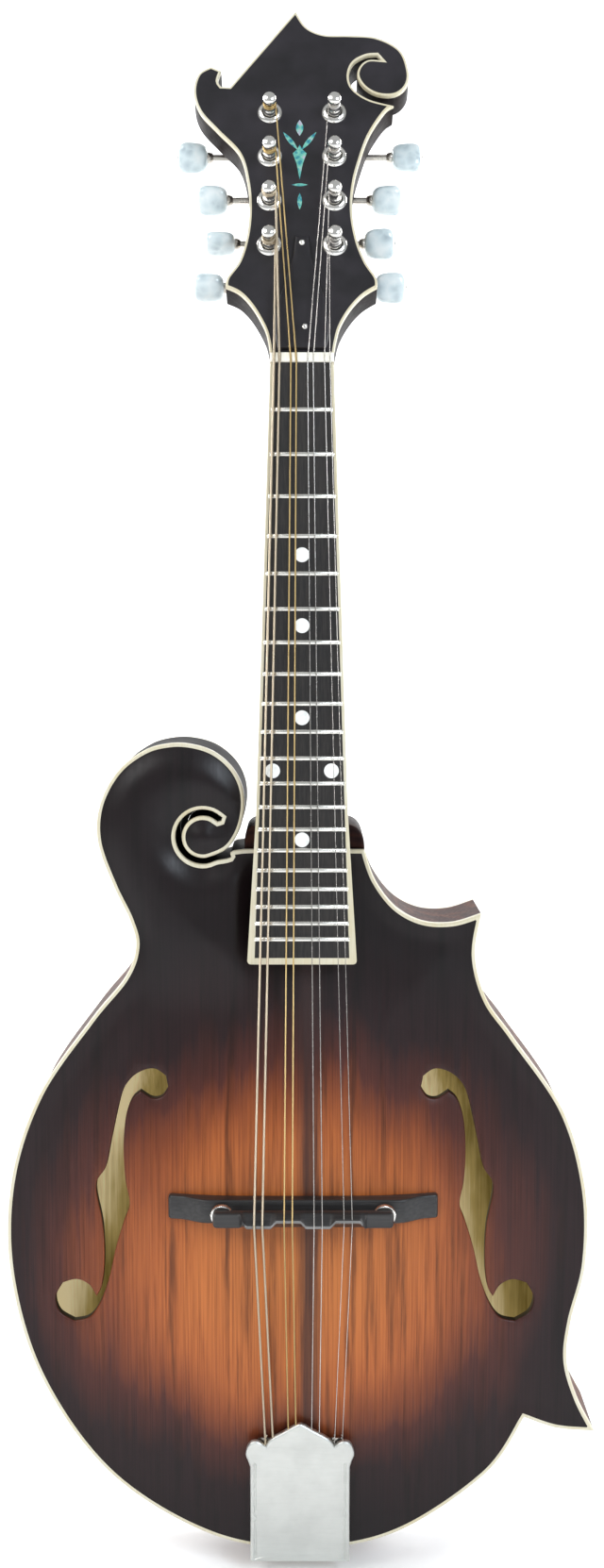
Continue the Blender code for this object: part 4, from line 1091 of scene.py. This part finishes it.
def worm(start, end, phase):
    """A threaded worm along x."""
    pitch = 1.5
    rings = []
    for x in np.arange(start, end + 0.01, pitch / 8):
        ease = min(1.0, (x - start) / 1.0, (end - x) / 1.0)
        ring = []
        for k in range(20):
            angle = 2 * math.pi * k / 20
            wave = 0.5 + 0.5 * math.cos(2 * math.pi * x / pitch + angle + phase)
            radius = SHAFT_RADIUS - 0.1 + 0.75 * ease * wave ** 0.7
            ring.append((x, radius * math.cos(angle), radius * math.sin(angle)))
        rings.append(ring)
    return loft(rings)


def shaft(side, reach):
    """A tuner's shaft with its worm and collars, out along x."""
    inner = POST_X - 6.2
    knots = [(inner, 0.9), (inner + 0.4, 1.5), (POST_X + 4.6, 1.5), (POST_X + 6.2, 1.5), (POST_X + 6.3, 2.3),
             (POST_X + 7.1, 2.3), (POST_X + 7.2, 1.45), (reach - 9.0, 1.35), (reach - 8.9, 1.9),
             (reach - 7.9, 2.3), (reach - 7.0, 2.5), (reach - 6.4, 2.3)]
    rod = turned([(0.0, knots[0][0])] + [(radius, x) for x, radius in knots] + [(0.0, knots[-1][0])], 20)
    rod = rod.moved(Matrix.Rotation(math.radians(90.0), 4, "Y"))
    return (rod + worm(POST_X - 3.8, POST_X + 3.8, 0.0)).moved(Matrix.Scale(side, 4, (1, 0, 0)))


def button(side, reach, turn):
    """A flat oval pearl button with softened edges."""
    rings = []
    for i in range(BUTTON_STEPS + 1):
        t = -1.0 + 2.0 * i / BUTTON_STEPS
        wide = (6.6 + 0.5 * t) * (1.0 - abs(t) ** 3.4) ** (1 / 2.8)
        thick = 3.6 * (1.0 - abs(t) ** 5.0) ** (1 / 2.8)
        if t < 0:
            wide = max(wide, 2.4 * min(1.0, (t + 1.0) * 20.0))
        rings.append(oval_ring(side * (reach + BUTTON_HALF * t), max(wide, 0.05), max(thick, 0.05), turn))
    return loft(rings)


def oval_ring(x, wide, thick, turn):
    """A rounded rectangular section across x, turned by some degrees."""
    ring = []
    for k in range(32):
        angle = 2 * math.pi * k / 32
        c, s = math.cos(angle), math.sin(angle)
        y = wide * math.copysign(abs(c) ** 0.75, c)
        z = thick * math.copysign(abs(s) ** 0.75, s)
        spin = math.radians(turn)
        ring.append((x, y * math.cos(spin) - z * math.sin(spin), y * math.sin(spin) + z * math.cos(spin)))
    return ring


def lug(x, y):
    """A bearing bracket that stands on the tuner plate and holds the worm's shaft."""
    rings = []
    for station in (x - 1.1, x - 0.9, x + 0.9, x + 1.1):
        grow = 0.0 if abs(station - x) > 1.0 else 0.2
        ring = [(station, y - 2.6 - grow, PLATE_BACK + 0.4), (station, y + 1.7 + grow, PLATE_BACK + 0.4)]
        ring += [(station, y - 0.4 + (2.1 + grow) * math.cos(a), WORM_HEIGHT - (1.9 + grow) * math.sin(a))
                 for a in np.linspace(0.0, math.pi, 9)]
        rings.append(ring)
    return loft(rings)


def build_tuners():
    """Plates, bushings, posts with gears, and worms with their buttons."""
    post = turned([(0.0, 12.3), (1.2, 12.2), (2.2, 11.85), (2.8, 11.2), (3.0, 10.4), (3.0, 9.6), (2.7, 9.1),
                   (WAIST, 8.6), (WAIST - 0.1, 6.5), (WAIST, 4.5), (2.8, 3.8), (POST_RADIUS, 3.3),
                   (POST_RADIUS, GEAR_BACK + 0.3), (0.0, GEAR_BACK + 0.3)], 28)
    bushing = turned([(3.45, -1.6), (3.95, -1.6), (3.95, 0.03), (5.3, 0.03), (5.35, 0.45), (5.0, 0.95),
                      (4.3, 1.35), (3.8, 1.5), (3.45, 1.3)], 40, ring=True)
    for name, side in (("bass", -1), ("treble", 1)):
        x = side * POST_X
        corners = arc((x + 5.2, 125.0), 2.0, 0.0, 90.0, 5) + arc((x - 5.2, 125.0), 2.0, 90.0, 180.0, 5)
        corners += arc((x - 5.2, 41.0), 2.0, 180.0, 270.0, 5) + arc((x + 5.2, 41.0), 2.0, 270.0, 360.0, 5)
        holes = [ring_loop((x, y), POST_RADIUS + 0.4) for y in POST_ROWS]
        back = eased(PLATE_BACK, [corners], 0.4, -1.0)
        base = plate([corners, *holes], level(PLATE_FRONT), back, 5.0, (0.2, 0.4))
        lugs = [lug(x + offset, y - WORM_DROP) for y in POST_ROWS for offset in (-5.0, 5.0)]
        piece(f"tuner_strip_{name}", total([base, *lugs]), HEAD, [AGED_NICKEL],
              replaced=[f"tuner_plate_{name}"])
        gaps = [y + 10.0 for y in POST_ROWS[1:]]
        for number, y in enumerate([124.5, *gaps, 41.8]):
            screw = screw_head(1.5, 0.8).moved(at(x + 3.6 * (-1) ** number, y, PLATE_BACK, 180.0, "X"))
            piece(f"strip_screw_{name}_{number + 1}", screw, HEAD, [AGED_NICKEL])
        for row, y in enumerate(POST_ROWS):
            tag = f"{name}_{row + 1}"
            piece(f"bushing_{tag}", bushing.moved(at(x, y)), HEAD, [NICKEL])
            peg, knob = f"peg_{tag}", f"knob_{tag}"
            piece(f"string_post_{tag}", post.moved(at(x, y)), HEAD, [NICKEL], peg, [f"post_{tag}"])
            piece(f"gear_{tag}", gear().moved(at(x, y)), HEAD, [BRASS], peg)
            screw = screw_head(1.9, 0.9).moved(at(x, y, GEAR_BACK + 0.1, 180.0, "X"))
            piece(f"gear_screw_{tag}", screw, HEAD, [STEEL], peg)
            axis = HEAD @ placed(0.0, y - WORM_DROP, WORM_HEIGHT, 0.0)
            reach = BUTTON_REACH[row] + side * BUTTON_SHIFT
            piece(f"worm_shaft_{tag}", shaft(side, reach), axis, [AGED_NICKEL], knob)
            piece(f"pearl_button_{tag}", button(side, reach, BUTTON_TURNS[name][row]), axis, [PEARL], knob,
                  [f"button_{tag}"])
            cap = screw_head(1.4, 0.7).moved(Matrix.Rotation(math.radians(90.0 * side), 4, "Y"))
            cap = cap.moved(at(side * (reach + BUTTON_HALF - 0.1)))
            piece(f"button_screw_{tag}", cap, axis, [NICKEL], knob)


# Bridge

def base_section(x):
    """A rounded section of the bridge base, resting on the arched top."""
    near, far = BRIDGE_Y + BASE_DEPTH / 2, BRIDGE_Y - BASE_DEPTH / 2
    spots = np.array([(BRIDGE_X + x, y) for y in (near, BRIDGE_Y, far)])
    floor = float(top_height(spots).max()) + 0.05
    top = floor + 3.6 + (BASE_TOP - floor - 3.6) * float(smoothstep(-abs(x), -52.0, -40.0))
    slim = rounded(min(BASE_HALF - abs(x), 1.2), 1.2)
    corner = 0.9
    ring = [(near - slim, floor), (near - slim, top - corner)]
    ring += [(near - slim - corner + corner * math.cos(a), top - slim - corner + corner * math.sin(a))
             for a in np.linspace(0.0, math.pi / 2, 5)]
    ring += [(far + slim + corner - corner * math.sin(a), top - slim - corner + corner * math.cos(a))
             for a in np.linspace(0.0, math.pi / 2, 5)]
    ring += [(far + slim, top - corner), (far + slim, floor)]
    return [(BRIDGE_X + x, y, z) for y, z in ring]


def saddle_section(x):
    """A section of the saddle: a block with round shoulders and a stepped, compensated crest."""
    on_crest = float(smoothstep(-abs(x), -CREST_HALF_LENGTH - 2.2, -CREST_HALF_LENGTH))
    top = SADDLE_SHOULDER + (CREST - SADDLE_SHOULDER) * on_crest
    cell = (x + CREST_HALF_LENGTH) / (CREST_HALF_LENGTH / 2)
    swing = math.sin(math.pi * cell)
    step = 1.25 * math.copysign(min(1.0, 3.5 * abs(swing)), -swing) * on_crest
    crest_half = 3.2 + (0.85 - 3.2) * on_crest
    slim = rounded(min(SADDLE_HALF - abs(x), 1.6), 1.6)
    deep = 3.3 - slim
    shoulder = SADDLE_SHOULDER - 0.6 * on_crest - slim
    crest_half = min(crest_half, deep - 0.2)
    low = SADDLE_LOW + slim
    ring = [(-deep + 0.5, low), (deep - 0.5, low), (deep, SADDLE_LOW + 0.5 + slim), (deep, shoulder - 0.9),
            (deep - 0.4, shoulder - 0.2), (step + crest_half + 0.1, top - 0.45 - slim),
            (step + crest_half - 0.25, top - slim), (step - crest_half + 0.25, top - slim),
            (step - crest_half - 0.1, top - 0.45 - slim), (-deep + 0.4, shoulder - 0.2),
            (-deep, shoulder - 0.9), (-deep, SADDLE_LOW + 0.5 + slim)]
    return [(x, y, z) for y, z in ring]


def stations_along(half, ends, count):
    """Places for sections from one end to the other, closer together where the ends are rounded."""
    middle = np.linspace(-half + 2.0, half - 2.0, count)
    return [-half + e for e in ends] + list(middle) + [half - e for e in reversed(ends)]


def build_bridge():
    """Base, threaded studs, knurled wheels and saddle."""
    stations = stations_along(BASE_HALF, (0.0, 0.15, 0.4, 0.8, 1.2), 61)
    piece("bridge_foot", loft([base_section(x) for x in stations]), BODY, [BRIDGE_EBONY],
          replaced=["bridge_base"])
    stations = stations_along(SADDLE_HALF, (0.0, 0.15, 0.4, 0.9, 1.6), 149)
    saddle = loft([saddle_section(x) for x in stations])
    # The crest's top faces take the paler ebony: a painted highlight.
    for number, x in enumerate(stations[:-1]):
        saddle.looks[SADDLE_SIDES * number + SADDLE_CREST_SIDE] = int(abs(x) < CREST_HALF_LENGTH)
    piece("compensated_saddle", saddle, BRIDGE, [BRIDGE_EBONY, CREST_HIGHLIGHT_EBONY], "saddle", ["bridge_saddle"])
    for name, x in (("bass", -STUD_X), ("treble", STUD_X)):
        grip = toothed(WHEEL_RADIUS, KNURLS, KNURL_DEPTH, (1.0, 0.0))
        hole = ring_loop((0.0, 0.0), 1.9)
        wheel = plate([grip, hole], eased(WHEEL_HIGH, [grip], 0.4), eased(WHEEL_LOW, [grip], 0.4, -1.0), 0.0,
                      (0.2, 0.45))
        piece(f"knurled_wheel_{name}", wheel.moved(at(x)), BRIDGE, [NICKEL], f"wheel_{name}",
              [f"thumbwheel_{name}"], slot="brass_parts")
        thread = [(0.0, 6.0), (1.1, 6.0)]
        for i in range(THREAD_TURNS):
            thread += [(1.6, 5.7 - THREAD_PITCH * i), (1.25, 5.45 - THREAD_PITCH * i)]
        stud = turned(thread + [(1.1, -2.9), (0.0, -2.9)], 20)
        piece(f"threaded_stud_{name}", stud.moved(at(x)), BRIDGE, [BRASS], replaced=[f"bridge_stud_{name}"],
              sharp=20.0)


# Tailpiece

def build_tailpiece():
    """Base with its hooks and flange, and the cover that slides off it."""
    side_view = [(-461.0, 21.9), (-461.0, 23.1), (-463.0, 23.0), (-505.0, 18.3), (-515.0, 17.2),
                 (-516.8, 16.7), (-517.8, 15.6), (-518.0, 14.0), (-518.0, -12.0), (-516.6, -12.0),
                 (-516.6, 13.6), (-516.2, 14.9), (-514.8, 15.7)]
    stations = (-19.0, -18.7, -18.0, 17.0, 17.7, 18.0)
    rings = [[(x, y, z) for y, z in side_view] for x in stations]
    piece("tail_base", loft(rings), BODY, [AGED_NICKEL], replaced=["tailpiece_base"])
    rail = loft([[(x, y, z) for y, z in ((-466.6, 22.2), (-466.6, 23.4), (-467.0, 23.9), (-468.1, 23.9),
                                         (-468.5, 23.4), (-468.5, 22.0))] for x in (-18.6, 17.6)])
    piece("hook_rail", rail, BODY, [AGED_NICKEL])
    for index in range(8):
        x = string_at_tail(index)[0]
        path = [(x, -472.0, 21.6), (x, -470.5, 23.2), (x, -469.0, 24.4), (x, -467.2, 24.7), (x, -465.9, 24.2)]
        piece(f"string_hook_{index + 1}", tube(spline(path, 0.5) + path[-1:], 0.55, 10), BODY, [AGED_NICKEL])
    for number, (x, z) in enumerate(((-12.0, 8.0), (11.0, 8.0), (-0.5, -7.0))):
        screw = screw_head(2.2, 1.0).moved(at(x, -518.0, z, 90.0, "X"))
        piece(f"flange_screw_{number + 1}", screw, BODY, [AGED_NICKEL])

    side = [(x, y - TAIL_Y) for x, y in COVER_SIDE]
    half = spline(side[:2], 2.0) + spline(side[1:8], 0.8) + spline(side[7:], 0.8) + side[-1:]
    loop = half + mirrored(half[:-1], COVER_AXIS)

    def front(points):
        depth = edge_distance(points, [loop])
        along_side = (np.abs(np.abs(points[:, 0] - COVER_AXIS) - 19.6) < 0.5) & (points[:, 1] < -19.0)
        return -rounded(depth, 1.3) - np.where(along_side, 0.35, 0.0)

    def behind(points):
        near = edge_distance(points, [loop]) < 0.85
        return front(points) - 0.9 - np.where(near & (points[:, 1] < -22.0), 3.6, 0.0)

    cover = plate([loop], front, behind, 2.4, (0.15, 0.4, 0.8, 0.9, 1.3, 1.6, 2.0, 2.4, 2.8, 3.2))
    piece("satin_cover", cover, TAIL, [SATIN], "tail_cover", ["tailpiece_cover"], sharp=30.0)


# Strings

def spacing(index):
    """A string's pair, counted from the middle, and its place within the pair."""
    return index // 2 - 1.5, index % 2 - 0.5


def string_at_tail(index):
    """Where a string leaves its hook, in the body's frame."""
    pair, within = spacing(index)
    return Vector((0.8 + 9.9 * pair + 3.3 * within, -465.5, 23.9))


def string_at_crest(index):
    """Where a string crosses the saddle, in the bridge's frame."""
    pair, within = spacing(index)
    return Vector((12.5 * pair + 3.4 * within, 0.0, CREST + STRING_GAUGES[index] / 2 - 0.05))


def string_at_nut(index):
    """Where a string crosses the nut, in the neck's frame."""
    pair, within = spacing(index)
    return Vector((7.0 * pair + 2.3 * within, 0.5, NUT_TOP - 0.15 + STRING_GAUGES[index] / 2))


def string_run(start, end, radius, name, look):
    """A straight length of string as a mesh in the world, not yet riding on anything."""
    points = [start.lerp(end, t) for t in np.linspace(0.0, 1.0, 9)]
    shape = tube([point / MM for point in points], radius, 10)
    return piece(name, shape, Matrix.Identity(4), [look], None)


def build_strings():
    """Each string: its loop, the lengths behind and before the bridge, the run to its post and its coil."""
    for index, gauge in enumerate(STRING_GAUGES):
        radius = gauge / 2
        look = (THICK_WOUND, THIN_WOUND, PLAIN_WIRE, PLAIN_WIRE)[index // 2]
        number = index + 1
        side, row = POST_OF_STRING[index]
        sign = -1 if side == "bass" else 1
        tail = BODY @ (string_at_tail(index) * MM)
        crest = BRIDGE @ (string_at_crest(index) * MM)
        nut = NECK @ (string_at_nut(index) * MM)
        coil_radius = WAIST + radius - 0.1
        post = HEAD @ Vector((sign * (POST_X - coil_radius) * MM, POST_ROWS[row] * MM,
                              WIND_HEIGHTS[row] * MM))
        behind = string_run(tail, crest, radius, f"string_{number}_tail", look)
        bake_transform(behind)
        playing = string_run(crest, nut, radius, f"string_{number}_playing", look)
        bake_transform(playing)
        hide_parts(f"string_{number}")
        head_run = string_run(nut, post, radius, f"string_{number}_head", look)
        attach(head_run, "root")

        x, y, z = string_at_tail(index)
        eye = [(x + 0.8 * math.sin(a), -466.9 + 1.6 * math.cos(a), z - 0.25)
               for a in np.linspace(0.0, 2 * math.pi, 17)]
        twist = [(x + 0.35 * math.sin(1.9 * i), -465.2 + 0.5 * i, z - 0.03 * i) for i in range(13)]
        ends = total([tube(eye, radius * 0.8, 8), tube(twist, radius, 8)])
        piece(f"string_{number}_loop", ends, BODY, [look])

        turns = 3.0 if gauge > 0.5 else 4.0
        pitch = gauge * 1.05
        steps = int(turns * COIL_STEPS)
        coil = []
        for i in range(steps + 1):
            angle = 2 * math.pi * turns * i / steps
            height = WIND_HEIGHTS[row] - pitch * turns / 2 + pitch * turns * i / steps
            height = min(max(height, WAIST_LOW + radius), WAIST_HIGH + 0.3 - radius)
            coil.append((sign * POST_X + coil_radius * math.cos(angle),
                         POST_ROWS[row] + coil_radius * math.sin(angle), height))
        piece(f"string_{number}_coil", tube(coil, radius, 8), HEAD, [look], f"peg_{side}_{row + 1}")


# Carried-over CAD pieces

def dress_frame():
    """Procedural materials for the CAD nodes that still show."""
    looks = {"lining": RAW_SPRUCE, "tone_bar": RAW_SPRUCE, "block": BLOCK_WOOD, "truss_rod": STEEL,
             "truss_nut": BRASS}
    for name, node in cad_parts.items():
        if node.hide_render:
            continue
        found = [look for word, look in looks.items() if word in name]
        node.data.materials.clear()
        node.data.materials.append(found[0] if found else BLOCK_WOOD)


# Stage, light and camera

def build_stage():
    """A white floor that curves up into a backdrop."""
    floor = CAD_BOX[0].z - 0.006
    bend = 0.8
    profile = [(-4.0, floor), (1.4, floor)]
    profile += [(1.4 + bend * math.sin(a), floor + bend - bend * math.cos(a))
                for a in np.linspace(0.1, math.pi / 2, 12)]
    profile.append((1.4 + bend, 4.0))
    points = [(x, y, z) for y, z in profile for x in (-5.0, 5.0)]
    faces = [(2 * i, 2 * i + 1, 2 * i + 3, 2 * i + 2) for i in range(len(profile) - 1)]
    mesh = bpy.data.meshes.new("stage")
    mesh.from_pydata(points, [], faces)
    mesh.materials.append(stage_look())
    mesh.shade_smooth()
    stage = bpy.data.objects.new("stage", mesh)
    bpy.context.scene.collection.objects.link(stage)


def area_light(name, place, target, width, height, power, colour=(1.0, 1.0, 1.0)):
    """A rectangular soft light aimed at a point."""
    data = bpy.data.lights.new(name, "AREA")
    data.shape = "RECTANGLE"
    data.size = width
    data.size_y = height
    data.energy = power
    data.color = colour
    lamp = bpy.data.objects.new(name, data)
    lamp.location = place
    aim = Vector(target) - Vector(place)
    lamp.rotation_euler = aim.to_track_quat("-Z", "Y").to_euler()
    bpy.context.scene.collection.objects.link(lamp)


def build_light():
    """A pale surround, a soft key from the upper left, a cool one from the right, and two on the backdrop."""
    world = bpy.data.worlds.new("studio")
    world.use_nodes = True
    sky = world.node_tree.nodes["Background"]
    sky.inputs["Color"].default_value = (0.95, 0.98, 1.0, 1.0)
    sky.inputs["Strength"].default_value = 0.5
    bpy.context.scene.world = world
    area_light("key", (-1.4, -1.3, 1.2), (0.0, 0.0, -0.25), 1.3, 1.3, 23.0)
    area_light("cool_side", (1.1, -1.5, 0.75), (0.0, 0.0, -0.2), 0.8, 0.8, 21.0, (0.80, 0.90, 1.0))
    area_light("backdrop_left", (-1.9, 0.7, 0.6), (0.2, 2.0, -0.1), 0.6, 1.8, 60.0)
    area_light("backdrop_right", (1.9, 0.7, 0.6), (-0.2, 2.0, -0.1), 0.6, 1.8, 60.0)
    bpy.context.scene.view_settings.view_transform = "Standard"


def build_camera():
    """The catalogue view: a little above level, on the body's middle."""
    data = bpy.data.cameras.new("camera")
    data.sensor_width = 36.0
    data.lens = 43.9
    camera = bpy.data.objects.new("camera", data)
    camera.location = (0.0, -0.8229, -0.1018)
    camera.rotation_euler = (math.radians(90.0 - NECK_ANGLE), 0.0, 0.0)
    bpy.context.scene.collection.objects.link(camera)
    bpy.context.scene.camera = camera


build_camera()
build_light()
build_stage()
build_plates()
build_rim()
build_neck()
build_headstock()
build_fingerboard()
build_tuners()
build_bridge()
build_tailpiece()
build_strings()
dress_frame()
